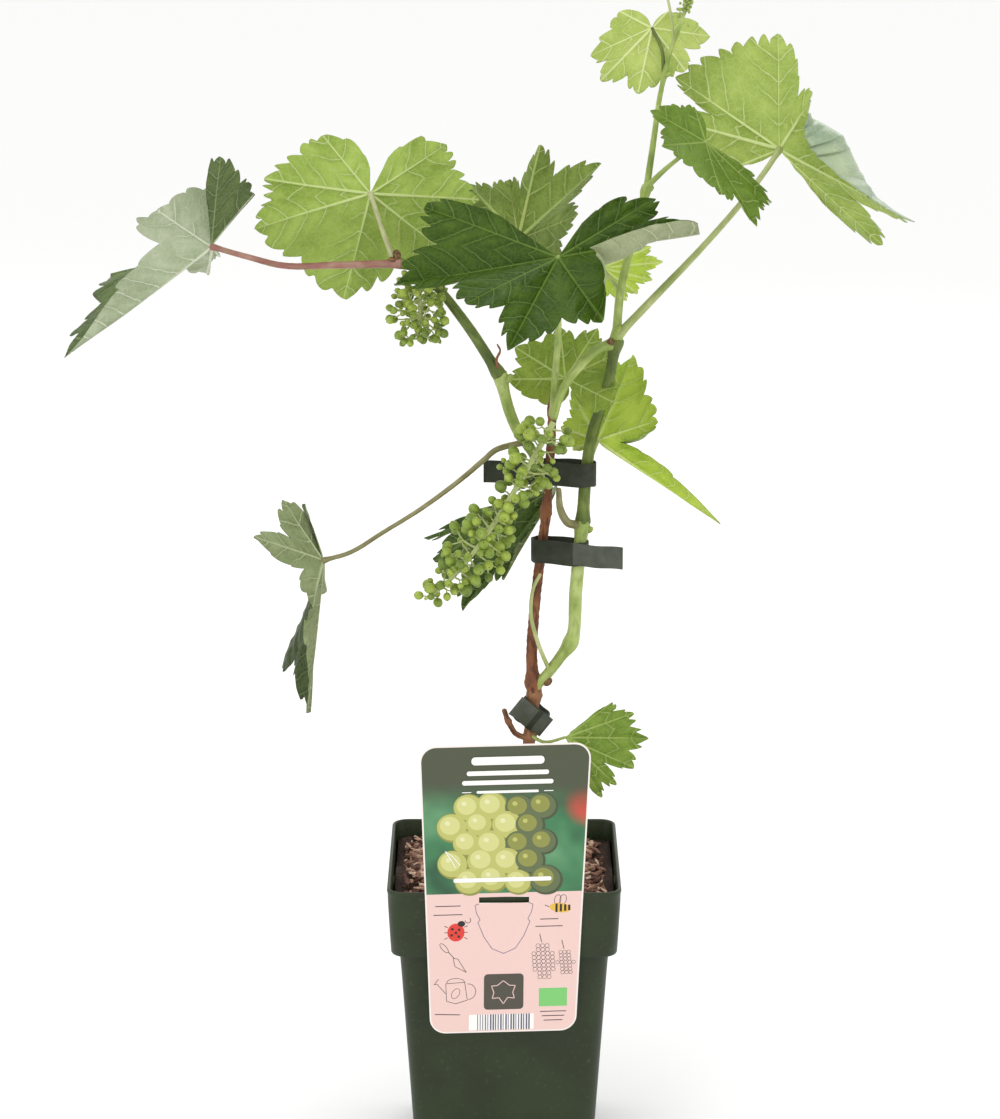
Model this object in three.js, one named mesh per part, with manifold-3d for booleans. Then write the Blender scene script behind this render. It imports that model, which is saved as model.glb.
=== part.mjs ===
// A young potted grapevine: a square nursery pot with its soil and hanging
// card, a brown woody cane, green shoots with their leaf stalks, thirteen
// lobed leaves, two bunches of unripe berries and three tape ties.
//
// Units are millimetres, +Z is up. The origin is the centre of the pot's flat
// underside. +X is the side the tall shoot leans to, -Y is the card's side.
import * as THREE from 'three';
import { mergeVertices } from 'three/addons/utils/BufferGeometryUtils.js';
import Module from 'manifold-3d';

const wasm = await Module();
wasm.setup();

// ---------------------------------------------------------------- sizes
const GAP = 0.4; // clear space left between touching pieces

const POT = {
  height: 170,
  baseHalf: 49.8, // half widths of the square outline
  skirtHalf: 58.3, // where the body meets the rim band
  bandLowHalf: 63,
  rimHalf: 65,
  bandLow: 131, // height of the band's lower edge
  wall: 1.8,
  floor: 2.5,
  corner: 9,
  drainRadius: 5,
  drainAt: 34, // drain holes sit this far out along x and y
  slotHeights: [155, 167], // the card slots in the left and right walls
  slotHalfWidth: 8,
  slotReach: 8, // how far the cut for a slot goes to each side of the wall
  edge: 1.5, // height and depth of the bevel round the underside
  lip: 0.6, // the same, at the rim and at the band's lower edge
};
const SOIL = { top: 160, bump: 3.5, stemPad: 16 };
const CARD = {
  bottom: 88.5,
  top: 256,
  topHalf: 47.2,
  bottomHalf: 40.5,
  corner: 9,
  thick: 0.7,
  tilt: 1.6, // degrees anticlockwise, seen from the front
  slot: { half: 13.8, low: 164.5, high: 168.2 },
};
const TIE = {
  width: 13,
  thick: 0.9,
  loopHalf: 5.2, // half the clear width of a loop
  overlap: 0.05, // how far the free tail sinks into the loop, as a share of its thickness
  edge: 0.4, // how much narrower the tail is, at each edge
  arcSteps: 6,
};
const LEAF = {
  thick: 1.0,
  panels: 4, // panels between two ribs
  rings: 3, // rings of points between the foot and the margin
  smallRings: 2, // the same, on a leaf whose ribs are all shorter than smallReach
  smallReach: 56,
  cup: 0.04, // how far a panel bulges, as a share of its rib
  lobe: 1.6, // 1 gives a pointed lobe, more gives a broad one with a narrow bay
  notchSteps: [0.25, 0.5], // columns past the outermost rib, as shares of a panel
  notchSwing: 0.9, // how far those columns swing
  notchShrink: 3.6, // how fast they grow short
};
const LIMB_SIDES = { thick: 8, thin: 6, thinBelow: 2 };
const FLARE_SHARE = 0.18; // a flared foot narrows over this share of its length
const BUNCH = { sides: 10, knobs: 0.07 }; // knobs: unevenness, as a share of the radius

const COLOUR = {
  pot: 0x3b4a30,
  soil: 0x4a2f22,
  card: 0xe6c9c4,
  tie: 0x3a3f38,
  bark: 0x7a4a33,
  green: 0x7f9a45,
  redStalk: 0x8c5a4c,
  leafTop: 0x4f7a28,
  leafPale: 0x9db36a,
  leafYoung: 0xa4c43c,
  berry: 0x86a844,
};

// ---------------------------------------------------------------- limbs
// Each limb bends through its route and tapers from its first radius to its
// last. A limb is cut clear of the limbs named in `from`.
const LIMBS = [
  {
    name: 'trunk', colour: COLOUR.bark, radii: [3.8, 3.1], flare: 1.35,
    route: [[4.5, 0, 160.4], [9.5, 0, 202], [14.5, 0, 241], [17, 0, 268]],
  },
  {
    name: 'brown_cane', colour: COLOUR.bark, radii: [3.1, 2.3], from: ['trunk'],
    route: [[17, 0, 267], [15.5, 0, 286], [17, 2, 314], [20, 3, 342],
      [23, 4, 366], [26, 5, 410], [27, 5, 434]],
  },
  {
    name: 'pruned_stub', colour: COLOUR.bark, radii: [1.5, 1.3], from: ['trunk'],
    route: [[14, 0, 239], [6.5, -3, 243], [2.5, -4, 250], [0, -4, 257]],
  },
  {
    name: 'green_shoot_lower', colour: COLOUR.green, radii: [3.4, 3.6], from: ['trunk', 'brown_cane'],
    route: [[17, -1, 269], [24.5, -3, 278], [31, -5, 287.5], [38, -6, 299], [40, -5, 327], [43.5, -2, 366]],
  },
  {
    name: 'green_shoot_middle', colour: COLOUR.green, radii: [3.5, 2.9], from: ['green_shoot_lower'],
    route: [[43.5, -2, 365], [45, 0, 389], [48.5, 2, 414], [56.5, 2, 440], [61.5, 0, 468]],
  },
  {
    name: 'green_shoot_upper', colour: COLOUR.green, radii: [2.6, 2.0], from: ['green_shoot_middle'],
    route: [[61.5, 0, 467], [63.5, 0, 494], [67, 0, 511], [74, 0, 537], [77.5, 0, 553]],
  },
  {
    name: 'shoot_tip', colour: COLOUR.green, radii: [1.9, 0.9], from: ['green_shoot_upper'],
    route: [[77.5, 0, 552], [81, 0, 578], [84, 0, 601], [89, 0, 624], [96, -2, 645], [104, -2, 664]],
  },
  {
    name: 'left_shoot_lower', colour: COLOUR.green, radii: [3.0, 3.2], from: ['brown_cane'],
    route: [[24.5, 5, 380], [17, 11, 400], [7.5, 8, 415], [2.5, 5, 428], [-2.5, 0, 449]],
  },
  {
    name: 'left_shoot_upper', colour: COLOUR.green, radii: [3.0, 2.1], from: ['left_shoot_lower'],
    route: [[-2.5, 0, 448], [-20, -2, 476], [-38.5, -4, 500], [-48.5, -4, 508.5], [-58, -4, 511.5]],
  },
  {
    name: 'bunch_stalk', colour: COLOUR.green, radii: [2.3, 1.9], from: ['green_shoot_middle'],
    route: [[60.5, 0, 466], [51, -5, 463.5], [40.5, -11, 454.5], [33, -15, 445],
      [29, -19, 436], [27, -23, 429]],
  },
  {
    name: 'stalk_leaf_1', colour: COLOUR.redStalk, radii: [1.9, 1.5], from: ['left_shoot_upper'],
    route: [[-56, -4, 511], [-91.5, -6, 510.5], [-119.5, -8, 510.5], [-140, -8, 515.5], [-159, -8, 521]],
  },
  {
    name: 'stalk_leaf_2', colour: COLOUR.green, radii: [1.4, 1.2], from: ['left_shoot_upper', 'stalk_leaf_1'],
    route: [[-60, -3, 511.5], [-66.5, 0, 529], [-73, 6, 548]],
  },
  {
    name: 'stalk_leaf_3', colour: COLOUR.green, radii: [1.3, 1.2], from: ['left_shoot_upper'],
    route: [[-43.5, -3, 504], [-24.5, 15, 508.5], [-2.5, 28, 514], [8, 32, 519]],
  },
  {
    name: 'stalk_leaf_4', colour: COLOUR.green, radii: [1.8, 1.5], from: ['brown_cane', 'bunch_stalk'],
    route: [[27, 4, 425], [28, -6, 448], [29.5, -14, 475], [29, -20, 497], [29, -30, 519]],
  },
  {
    name: 'stalk_leaf_5', colour: COLOUR.green, radii: [1.1, 0.9], from: ['green_shoot_upper'],
    route: [[63.5, 0, 495], [59, 12, 499.5], [54, 22, 504]],
  },
  {
    name: 'stalk_leaf_6', colour: COLOUR.green, radii: [1.1, 0.9], from: ['shoot_tip'],
    route: [[86, 0, 612], [85, 4, 626], [80, 12, 637]],
  },
  {
    name: 'stalk_leaf_7', colour: COLOUR.green, radii: [1.9, 1.5],
    from: ['green_shoot_middle', 'green_shoot_upper'],
    route: [[62, 0, 470], [85, -2, 495], [106.5, -2, 518], [128, 0, 542.5], [141.5, 3, 560], [150, 8, 572]],
  },
  {
    name: 'stalk_leaf_8', colour: COLOUR.green, radii: [1.3, 1.1], from: ['green_shoot_upper', 'shoot_tip'],
    route: [[77, 0, 552], [88.5, -8, 564.5], [100, -17, 575], [108, -22, 580]],
  },
  {
    name: 'stalk_leaf_9', colour: COLOUR.green, radii: [1.2, 1.1], from: ['brown_cane'],
    route: [[26.5, 5, 428], [31, 10, 435.5], [34, 15, 443]],
  },
  {
    name: 'stalk_leaf_10', colour: COLOUR.green, radii: [1.3, 1.1], from: ['green_shoot_middle'],
    route: [[45, 0, 386], [47.5, 8, 397], [52, 10, 409]],
  },
  {
    name: 'stalk_leaf_11', colour: COLOUR.green, radii: [1.2, 1.1], from: ['brown_cane'],
    route: [[25, 5, 376], [26, 16, 376.5], [29, 28, 378]],
  },
  {
    name: 'stalk_leaf_12', colour: COLOUR.green, radii: [1.6, 1.3], from: ['left_shoot_lower'],
    route: [[10, 9, 408], [-4.5, 0, 406], [-11.5, -2, 400.5], [-24.5, -3, 389.5], [-46, -4, 373.5],
      [-67.5, -5, 360], [-85, -5, 349], [-101, -5, 344]],
  },
  {
    name: 'stalk_leaf_13', colour: COLOUR.green, radii: [1.0, 0.8], from: ['trunk'],
    route: [[15, 0, 241], [23, -18, 242.5], [34, -30, 249]],
  },
  {
    name: 'tendril_lower', colour: COLOUR.green, radii: [1.2, 0.9], from: ['green_shoot_lower', 'brown_cane'],
    route: [[26, -4, 279], [19.5, -9, 296], [15, -9, 313.5], [16, -8, 328], [20, -8, 337]],
  },
  {
    name: 'tendril_upper', colour: COLOUR.green, radii: [2.2, 1.5],
    from: ['green_shoot_lower', 'green_shoot_middle'],
    route: [[42, -3, 364], [35, -9, 367], [31, -11, 375], [30, -10, 386]],
  },
  {
    name: 'tendril_top', colour: COLOUR.green, radii: [0.9, 0.6], from: ['shoot_tip'],
    route: [[91, -1, 630], [90, 1, 642.5], [88, 3, 653], [85, 6, 667], [87, 10, 676]],
  },
];

// ---------------------------------------------------------------- leaves
// A leaf is laid out by the end of its stalk and by its seven rib tips,
// measured from there: the lobe beside the stalk, the lower and the upper side
// lobe, the middle lobe, and the same three back down the other side. Seen on
// its upper face the ribs run anticlockwise. `dips` says how deep the notch
// between two ribs goes, as a share of the way to the foot.
const LEAVES = [
  {
    name: 'leaf_1_far_left', colour: COLOUR.leafPale, foot: [-159, -8, 521],
    ribs: [[2, 30, -10], [-6, 42, -22], [-60, 36, -22], [-80, -12, -60],
      [-28, -12, 22], [24, -2, 29], [8, -32, 54]],
    dips: [0.15, 0.35, 0.12, 0.75, 0.1, 0.1],
  },
  {
    name: 'leaf_2_broad_left', colour: COLOUR.leafYoung, foot: [-73, 6, 548],
    ribs: [[41, 19, 24], [59, 24, -7], [38, 24, -35], [-16, 24, -63],
      [-64, 6, -20], [-58, 4, 7], [-26, 6, 31]],
    dips: [0.08, 0.12, 0.12, 0.12, 0.08, 0.08],
  },
  {
    name: 'leaf_3_behind', colour: COLOUR.leafTop, foot: [8, 32, 519],
    ribs: [[-24, 18, -4], [-28, 13, 28], [-5, 28, 28], [12, 13, 50],
      [46, 18, 39], [33, 38, 7], [22, 28, -18]],
    dips: [0.2, 0.1, 0.35, 0.25, 0.3, 0.1],
  },
  {
    name: 'leaf_4_front', colour: COLOUR.leafTop, foot: [29, -30, 519],
    ribs: [[-72, 10, 26], [-88, -15, -13], [-49, -45, -16], [-27, -55, -40],
      [23, -40, -27], [76, 0, 14], [52, 5, 31]],
    dips: [0.15, 0.2, 0.2, 0.2, 0.35, 0.2],
  },
  {
    name: 'leaf_5_small', colour: COLOUR.leafYoung, foot: [54, 22, 504],
    ribs: [[11, 3, 15], [27, 6, 11], [34, 8, 2], [28, 6, -8], [20, 4, -15], [14, 3, -19], [0, 2, -16]],
    dips: [0.15, 0.15, 0.15, 0.15, 0.15, 0.15],
  },
  {
    name: 'leaf_6_top', colour: COLOUR.leafYoung, foot: [80, 12, 637],
    ribs: [[8, 6, 8], [32, 13, -6], [18, -7, -22], [-8, -14, -34],
      [-28, -12, -27], [-33, 8, -16], [-17, 10, 8]],
    dips: [0.1, 0.3, 0.2, 0.2, 0.2, 0.15],
  },
  {
    name: 'leaf_7_far_right', colour: COLOUR.leafPale, foot: [150, 8, 572],
    ribs: [[-22, 12, -11], [-64, 20, 15], [-56, 24, 36], [0, 22, 60],
      [16, -8, 27], [72, -28, -35], [58, 12, -55]],
    dips: [0.2, 0.3, 0.04, 0.35, 0.1, 0.35],
  },
  {
    name: 'leaf_8_folded', colour: COLOUR.leafTop, foot: [108, -22, 580],
    ribs: [[-6, 4, 18], [-30, -6, 18], [-24, -26, 2], [7, -28, -24],
      [28, -8, -44], [36, 7, -34], [22, 10, -16]],
    dips: [0.1, 0.15, 0.15, 0.2, 0.1, 0.1],
  },
  {
    name: 'leaf_9_centre', colour: COLOUR.leafPale, foot: [34, 15, 443],
    ribs: [[-3, 4, -15], [-32, 3, -1], [-28, 9, 16], [-3, 13, 26], [18, 12, 26], [28, 0, 14], [26, -26, -8]],
    dips: [0.1, 0.15, 0.15, 0.2, 0.2, 0.2],
  },
  {
    name: 'leaf_10_right', colour: COLOUR.leafYoung, foot: [52, 10, 409],
    ribs: [[-13, 8, -7], [-20, 15, 4], [-14, 25, 23], [21, 30, 42],
      [33, 0, 11], [67, -35, -39], [26, 0, -11]],
    dips: [0.1, 0.2, 0.15, 0.05, 0.7, 0.55],
  },
  {
    name: 'leaf_11_behind_bunch', colour: COLOUR.leafTop, foot: [29, 28, 378],
    ribs: [[-43, 24, -19], [-74, 17, -34], [-69, 2, -43], [-52, -13, -69],
      [-30, -23, -47], [-14, -16, -20], [-6, -14, -10]],
    dips: [0.2, 0.2, 0.2, 0.15, 0.1, 0.1],
  },
  {
    name: 'leaf_12_hanging', colour: COLOUR.leafPale, foot: [-101, -5, 344],
    ribs: [[-12, 30, 25], [-2, 50, -31], [-25, 42, -74], [-9, -5, -87],
      [-6, -26, -20], [-36, -20, 18], [-23, 10, 32]],
    dips: [0.3, 0.3, 0.3, 0.45, 0.6, 0.5],
  },
  {
    name: 'leaf_13_low_young', colour: COLOUR.leafYoung, foot: [34, -30, 249],
    ribs: [[20, -15, -30], [28, -18, -22], [38, -12, -14], [46, -5, 1], [38, 0, 14], [26, 5, 19], [13, 8, 9]],
    dips: [0.1, 0.3, 0.1, 0.08, 0.08, 0.08],
  },
];

// ---------------------------------------------------------------- bunches
const BUNCHES = [
  {
    name: 'berry_bunch_main',
    route: [[27, -25, 424], [17, -28, 409], [6, -30, 390], [-13, -30, 360], [-30, -29, 339],
      [-43, -28, 328]],
    radii: [8, 19, 18, 16, 13, 9, 12, 17, 18, 15, 12, 8, 5],
  },
  {
    name: 'berry_bunch_small', route: [[-46, -5, 500], [-46, -4, 484], [-47, -3, 468]],
    radii: [6, 13, 17, 18, 16, 9],
  },
];

// ---------------------------------------------------------------- helpers
function material(colour, roughness = 0.6) {
  return new THREE.MeshStandardMaterial({ color: colour, roughness, metalness: 0 });
}

function meshOf(name, geometry, colour, roughness) {
  geometry.computeVertexNormals();
  const mesh = new THREE.Mesh(geometry, material(colour, roughness));
  mesh.name = name;
  return mesh;
}

function geometryOf(positions, indices) {
  const geometry = new THREE.BufferGeometry();
  geometry.setAttribute('position', new THREE.Float32BufferAttribute(positions, 3));
  geometry.setIndex(indices);
  return geometry;
}

function toSolid(geometry) {
  let plain = geometry.clone();
  plain.deleteAttribute('normal');
  plain.deleteAttribute('uv');
  plain = mergeVertices(plain, 1e-4);
  const mesh = new wasm.Mesh({
    numProp: 3,
    vertProperties: new Float32Array(plain.attributes.position.array),
    triVerts: new Uint32Array(plain.index.array),
  });
  return new wasm.Manifold(mesh);
}

// The largest body of a solid, as a geometry.
function toGeometry(solid) {
  const bodies = solid.decompose();
  bodies.sort((a, b) => b.volume() - a.volume());
  const mesh = bodies[0].getMesh();
  return geometryOf(Array.from(mesh.vertProperties), Array.from(mesh.triVerts));
}

// ---------------------------------------------------------------- rings
// A closed skin over rings of points: every ring has the same count, and the
// first and last ring are closed by a fan round their middle.
function skinOverRings(rings) {
  const count = rings[0].length;
  const positions = [];
  const indices = [];
  for (const ring of rings) {
    for (const p of ring) positions.push(p.x, p.y, p.z);
  }
  for (let r = 0; r + 1 < rings.length; r += 1) {
    for (let i = 0; i < count; i += 1) {
      const a = r * count + i;
      const b = r * count + ((i + 1) % count);
      indices.push(a, b, b + count, a, b + count, a + count);
    }
  }
  for (const last of [false, true]) {
    const ring = rings[last ? rings.length - 1 : 0];
    const start = last ? (rings.length - 1) * count : 0;
    const middle = ring.reduce((sum, p) => sum.add(p), new THREE.Vector3()).divideScalar(count);
    const centre = positions.length / 3;
    positions.push(middle.x, middle.y, middle.z);
    for (let i = 0; i < count; i += 1) {
      const a = start + i;
      const b = start + ((i + 1) % count);
      if (last) indices.push(a, b, centre);
      else indices.push(b, a, centre);
    }
  }
  return geometryOf(positions, indices);
}

// Rings of a round bar along a smooth route. `radiusAt` takes the share of the
// way along. The ring frame is carried along so that the bar doesn't twist.
function barRings(route, radiusAt, steps, sides, upright = false) {
  const curve = new THREE.CatmullRomCurve3(route.map((p) => new THREE.Vector3(...p)), false, 'centripetal');
  const rings = [];
  let across = new THREE.Vector3(1, 0, 0);
  for (let s = 0; s <= steps; s += 1) {
    const u = s / steps;
    const centre = curve.getPointAt(u);
    const along = curve.getTangentAt(u);
    if (upright && s === 0) along.set(0, 0, 1);
    if (s === 0 && Math.abs(along.x) > 0.9) across = new THREE.Vector3(0, 1, 0);
    across = across.clone().addScaledVector(along, -across.dot(along)).normalize();
    const other = along.clone().cross(across);
    const ring = [];
    for (let i = 0; i < sides; i += 1) {
      const angle = (2 * Math.PI * i) / sides;
      const r = radiusAt(u, i);
      ring.push(centre.clone()
        .addScaledVector(across, Math.cos(angle) * r)
        .addScaledVector(other, Math.sin(angle) * r));
    }
    rings.push(ring);
  }
  return rings;
}

function limbGeometry(limb, extra = 0) {
  const [first, last] = limb.radii;
  const thin = first < LIMB_SIDES.thinBelow;
  const sides = thin ? LIMB_SIDES.thin : LIMB_SIDES.thick;
  const steps = Math.max(4, Math.round((limb.route.length - 1) * 1.5));
  const flare = limb.flare ?? 1;
  const radiusAt = (u) => {
    const swell = 1 + (flare - 1) * Math.max(0, 1 - u / FLARE_SHARE) ** 2;
    return (first + (last - first) * u) * swell + extra;
  };
  return skinOverRings(barRings(limb.route, radiusAt, steps, sides, flare > 1));
}

// ---------------------------------------------------------------- the leaf surface
// Swings from one rib to the next about the leaf's foot: direction and length
// both change evenly with t.
function swing(a, b, t) {
  const la = a.length();
  const lb = b.length();
  if (la < 1e-6 || lb < 1e-6) return new THREE.Vector3();
  const between = a.angleTo(b);
  const s = Math.max(Math.sin(between), 1e-3);
  return a.clone().multiplyScalar(Math.sin((1 - t) * between) / s / la)
    .addScaledVector(b, Math.sin(t * between) / s / lb)
    .multiplyScalar(la + (lb - la) * t);
}

function ringCount(leaf) {
  const longest = Math.max(...leaf.ribs.map((r) => Math.hypot(...r)));
  return longest < LEAF.smallReach ? LEAF.smallRings : LEAF.rings;
}

// The middle surface as columns that run from the foot to the margin, from one
// side of the stalk's notch round to the other.
function leafColumns(leaf) {
  const ribs = leaf.ribs.map((r) => new THREE.Vector3(...r));
  const up = new THREE.Vector3();
  for (let k = 0; k + 1 < ribs.length; k += 1) up.add(ribs[k].clone().cross(ribs[k + 1]));
  up.normalize();
  const rings = ringCount(leaf);
  const shares = Array.from({ length: rings + 1 }, (_, j) => j / rings);
  const column = (from, to, t, reach, bulge = 0) => shares.map((u) => {
    const p = swing(ribs[from].clone().multiplyScalar(u), ribs[to].clone().multiplyScalar(u), t);
    return p.multiplyScalar(reach).addScaledVector(up, bulge * u * ribs[from].length());
  });
  // Past the outermost ribs the margin runs back towards the stalk's notch.
  const closing = (from, to, e) => column(from, to, 1 + LEAF.notchSwing * e, 1 - LEAF.notchShrink * e ** 3);
  const columns = [];
  for (const e of LEAF.notchSteps.toReversed()) columns.push(closing(1, 0, e));
  for (let k = 0; k + 1 < ribs.length; k += 1) {
    for (let i = 0; i < LEAF.panels; i += 1) {
      const t = i / LEAF.panels;
      const reach = 1 - leaf.dips[k] * (1 - Math.abs(2 * t - 1)) ** LEAF.lobe;
      columns.push(column(k, k + 1, t, reach, LEAF.cup * Math.sin(Math.PI * t)));
    }
  }
  columns.push(column(5, 6, 1, 1));
  for (const e of LEAF.notchSteps) columns.push(closing(5, 6, e));
  return columns;
}

// Gives the middle surface its thickness. The foot is one shared point.
function leafGeometry(leaf) {
  const columns = leafColumns(leaf);
  const rings = ringCount(leaf);
  const points = [new THREE.Vector3()];
  for (const column of columns) points.push(...column.slice(1));
  const at = (c, j) => (j === 0 ? 0 : 1 + c * rings + (j - 1));
  const faces = [];
  for (let c = 0; c + 1 < columns.length; c += 1) {
    for (let j = 0; j < rings; j += 1) {
      if (j > 0) faces.push([at(c, j), at(c, j + 1), at(c + 1, j)]);
      faces.push([at(c + 1, j), at(c, j + 1), at(c + 1, j + 1)]);
    }
  }
  const normals = points.map(() => new THREE.Vector3());
  for (const [a, b, c] of faces) {
    const n = points[b].clone().sub(points[a]).cross(points[c].clone().sub(points[a]));
    for (const v of [a, b, c]) normals[v].add(n);
  }
  const foot = new THREE.Vector3(...leaf.foot);
  const positions = [];
  for (const side of [0.5, -0.5]) {
    points.forEach((p, i) => {
      const q = p.clone().addScaledVector(normals[i].normalize(), side * LEAF.thick).add(foot);
      positions.push(q.x, q.y, q.z);
    });
  }
  const count = points.length;
  const indices = [];
  for (const [a, b, c] of faces) indices.push(a, b, c, a + count, c + count, b + count);
  const border = [];
  for (let j = 0; j <= rings; j += 1) border.push(at(0, j));
  for (let c = 1; c < columns.length; c += 1) border.push(at(c, rings));
  for (let j = rings - 1; j > 0; j -= 1) border.push(at(columns.length - 1, j));
  for (let i = 0; i < border.length; i += 1) {
    const a = border[i];
    const b = border[(i + 1) % border.length];
    indices.push(b, a, a + count, b, a + count, b + count);
  }
  return geometryOf(positions, indices);
}

// ---------------------------------------------------------------- pot, soil, card
function squareRing(half, z, corner = POT.corner) {
  const ring = [];
  const segments = 3;
  for (let quarter = 0; quarter < 4; quarter += 1) {
    const turn = (quarter * Math.PI) / 2;
    const cx = (half - corner) * (Math.cos(turn) - Math.sin(turn));
    const cy = (half - corner) * (Math.sin(turn) + Math.cos(turn));
    for (let i = 0; i <= segments; i += 1) {
      const angle = turn + (i / segments) * (Math.PI / 2);
      ring.push(new THREE.Vector3(cx + corner * Math.cos(angle), cy + corner * Math.sin(angle), z));
    }
  }
  return ring;
}

function bodyHalfAt(z) {
  return POT.baseHalf + ((POT.skirtHalf - POT.baseHalf) * z) / POT.bandLow;
}

function boxAt(x0, x1, y0, y1, z0, z1) {
  const box = new THREE.BoxGeometry(x1 - x0, y1 - y0, z1 - z0);
  box.translate((x0 + x1) / 2, (y0 + y1) / 2, (z0 + z1) / 2);
  return box;
}

function potGeometry() {
  const { wall, corner } = POT;
  const inner = corner - wall;
  const shell = skinOverRings([
    squareRing(POT.baseHalf - POT.edge, 0),
    squareRing(POT.baseHalf, POT.edge),
    squareRing(POT.skirtHalf, POT.bandLow),
    squareRing(POT.bandLowHalf - POT.lip, POT.bandLow),
    squareRing(POT.bandLowHalf, POT.bandLow + POT.lip),
    squareRing(POT.rimHalf, POT.height - POT.lip),
    squareRing(POT.rimHalf - POT.lip, POT.height),
    squareRing(POT.rimHalf - wall, POT.height, inner),
    squareRing(POT.bandLowHalf - wall, POT.bandLow + wall, inner),
    squareRing(POT.skirtHalf - wall, POT.bandLow + wall, inner),
    squareRing(POT.baseHalf - wall, POT.floor, inner),
  ]);
  let solid = toSolid(shell);
  const [slotLow, slotHigh] = POT.slotHeights;
  const slotHalf = POT.slotHalfWidth;
  for (const side of [-1, 1]) {
    const wallAt = side * POT.rimHalf;
    const [near, far] = [wallAt - POT.slotReach, wallAt + POT.slotReach];
    const slot = boxAt(near, far, -slotHalf, slotHalf, slotLow, slotHigh);
    solid = solid.subtract(toSolid(slot));
    for (const along of [-1, 1]) {
      const drain = new THREE.CylinderGeometry(POT.drainRadius, POT.drainRadius, 12, 8);
      drain.rotateX(Math.PI / 2);
      drain.translate(side * POT.drainAt, along * POT.drainAt, 0);
      solid = solid.subtract(toSolid(drain));
    }
  }
  return toGeometry(solid);
}

// The soil fills the pot. Its top is uneven, and flat round the trunk's foot.
function soilGeometry() {
  const inset = POT.wall + GAP;
  const corner = POT.corner - inset;
  const bandHalf = POT.bandLowHalf - inset;
  const low = POT.bandLow + POT.wall + GAP;
  const rings = [
    squareRing(bodyHalfAt(POT.floor) - inset - 0.3, POT.floor + GAP, corner),
    squareRing(bodyHalfAt(low) - inset - 0.3, low, corner),
    squareRing(bandHalf, low, corner),
  ];
  const topHalf = bandHalf + 1.2;
  for (const share of [1, 0.75, 0.5, 0.28]) {
    const ring = squareRing(topHalf * share, SOIL.top, corner * share);
    ring.forEach((p, i) => {
      const far = Math.hypot(p.x, p.y) > SOIL.stemPad;
      const wave = Math.sin(i * 2.4 + share * 9) * 0.6 + Math.sin(i * 1.1 - share * 5) * 0.4;
      p.z += far ? wave * SOIL.bump * share : 0;
    });
    rings.push(ring);
  }
  return skinOverRings(rings);
}

// The card hangs against the front of the rim, with one slot cut through it.
function cardGeometry() {
  const { corner: r, topHalf, bottomHalf, top, bottom, slot } = CARD;
  const shape = new THREE.Shape();
  shape.moveTo(-bottomHalf + r, bottom);
  shape.lineTo(bottomHalf - r, bottom);
  shape.quadraticCurveTo(bottomHalf, bottom, bottomHalf, bottom + r);
  shape.lineTo(topHalf, top - r);
  shape.quadraticCurveTo(topHalf, top, topHalf - r, top);
  shape.lineTo(-topHalf + r, top);
  shape.quadraticCurveTo(-topHalf, top, -topHalf, top - r);
  shape.lineTo(-bottomHalf, bottom + r);
  shape.quadraticCurveTo(-bottomHalf, bottom, -bottomHalf + r, bottom);
  const hole = new THREE.Path();
  hole.moveTo(-slot.half, slot.low);
  hole.lineTo(-slot.half, slot.high);
  hole.lineTo(slot.half, slot.high);
  hole.lineTo(slot.half, slot.low);
  hole.closePath();
  shape.holes.push(hole);
  const card = new THREE.ExtrudeGeometry(shape, { depth: CARD.thick, bevelEnabled: false, curveSegments: 4 });
  const middle = (top + bottom) / 2;
  card.translate(0, -middle, 0);
  card.rotateZ(THREE.MathUtils.degToRad(CARD.tilt));
  card.rotateX(Math.PI / 2);
  card.translate(0, -POT.rimHalf - GAP, middle);
  return card;
}

// ---------------------------------------------------------------- ties
// A band of tape: a flat loop round two stems, with a free tail. The loop is a
// long rounded outline in plan, extruded to the tape's width.
function tieGeometry({ from, to, low, tail, tilt = 0 }) {
  const half = TIE.loopHalf;
  const dx = to[0] - from[0];
  const dy = to[1] - from[1];
  const length = Math.hypot(dx, dy);
  const outline = (r) => {
    const points = [];
    for (let i = 0; i <= TIE.arcSteps; i += 1) {
      const a = Math.PI / 2 + (i / TIE.arcSteps) * Math.PI;
      points.push(new THREE.Vector2(r * Math.cos(a), r * Math.sin(a)));
    }
    for (let i = 0; i <= TIE.arcSteps; i += 1) {
      const a = -Math.PI / 2 + (i / TIE.arcSteps) * Math.PI;
      points.push(new THREE.Vector2(length + r * Math.cos(a), r * Math.sin(a)));
    }
    return points;
  };
  const shape = new THREE.Shape(outline(half + TIE.thick));
  shape.holes.push(new THREE.Path(outline(half)));
  const loop = new THREE.ExtrudeGeometry(shape, { depth: TIE.width, bevelEnabled: false });
  const [tailStart, tailEnd] = tail;
  const outer = -half - TIE.thick * (1 - TIE.overlap);
  const inner = -half - TIE.thick * TIE.overlap;
  const strip = boxAt(tailStart, tailEnd, outer, inner, TIE.edge, TIE.width - TIE.edge);
  const solid = toSolid(loop).add(toSolid(strip));
  const geometry = toGeometry(solid);
  geometry.translate(-length / 2, 0, -TIE.width / 2);
  geometry.rotateY(THREE.MathUtils.degToRad(tilt));
  geometry.rotateZ(Math.atan2(dy, dx));
  geometry.translate((from[0] + to[0]) / 2, (from[1] + to[1]) / 2, low + TIE.width / 2);
  return geometry;
}

const TIES = [
  { name: 'tie_upper', from: [25, 4], to: [45, 0], low: 386, tail: [-36, 4] },
  { name: 'tie_middle', from: [21, 3], to: [41, -4], low: 342, tail: [18, 49] },
  { name: 'tie_lower', from: [12, 0], to: [18, 0], low: 247, tail: [-8, 14], tilt: 38 },
];

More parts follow.
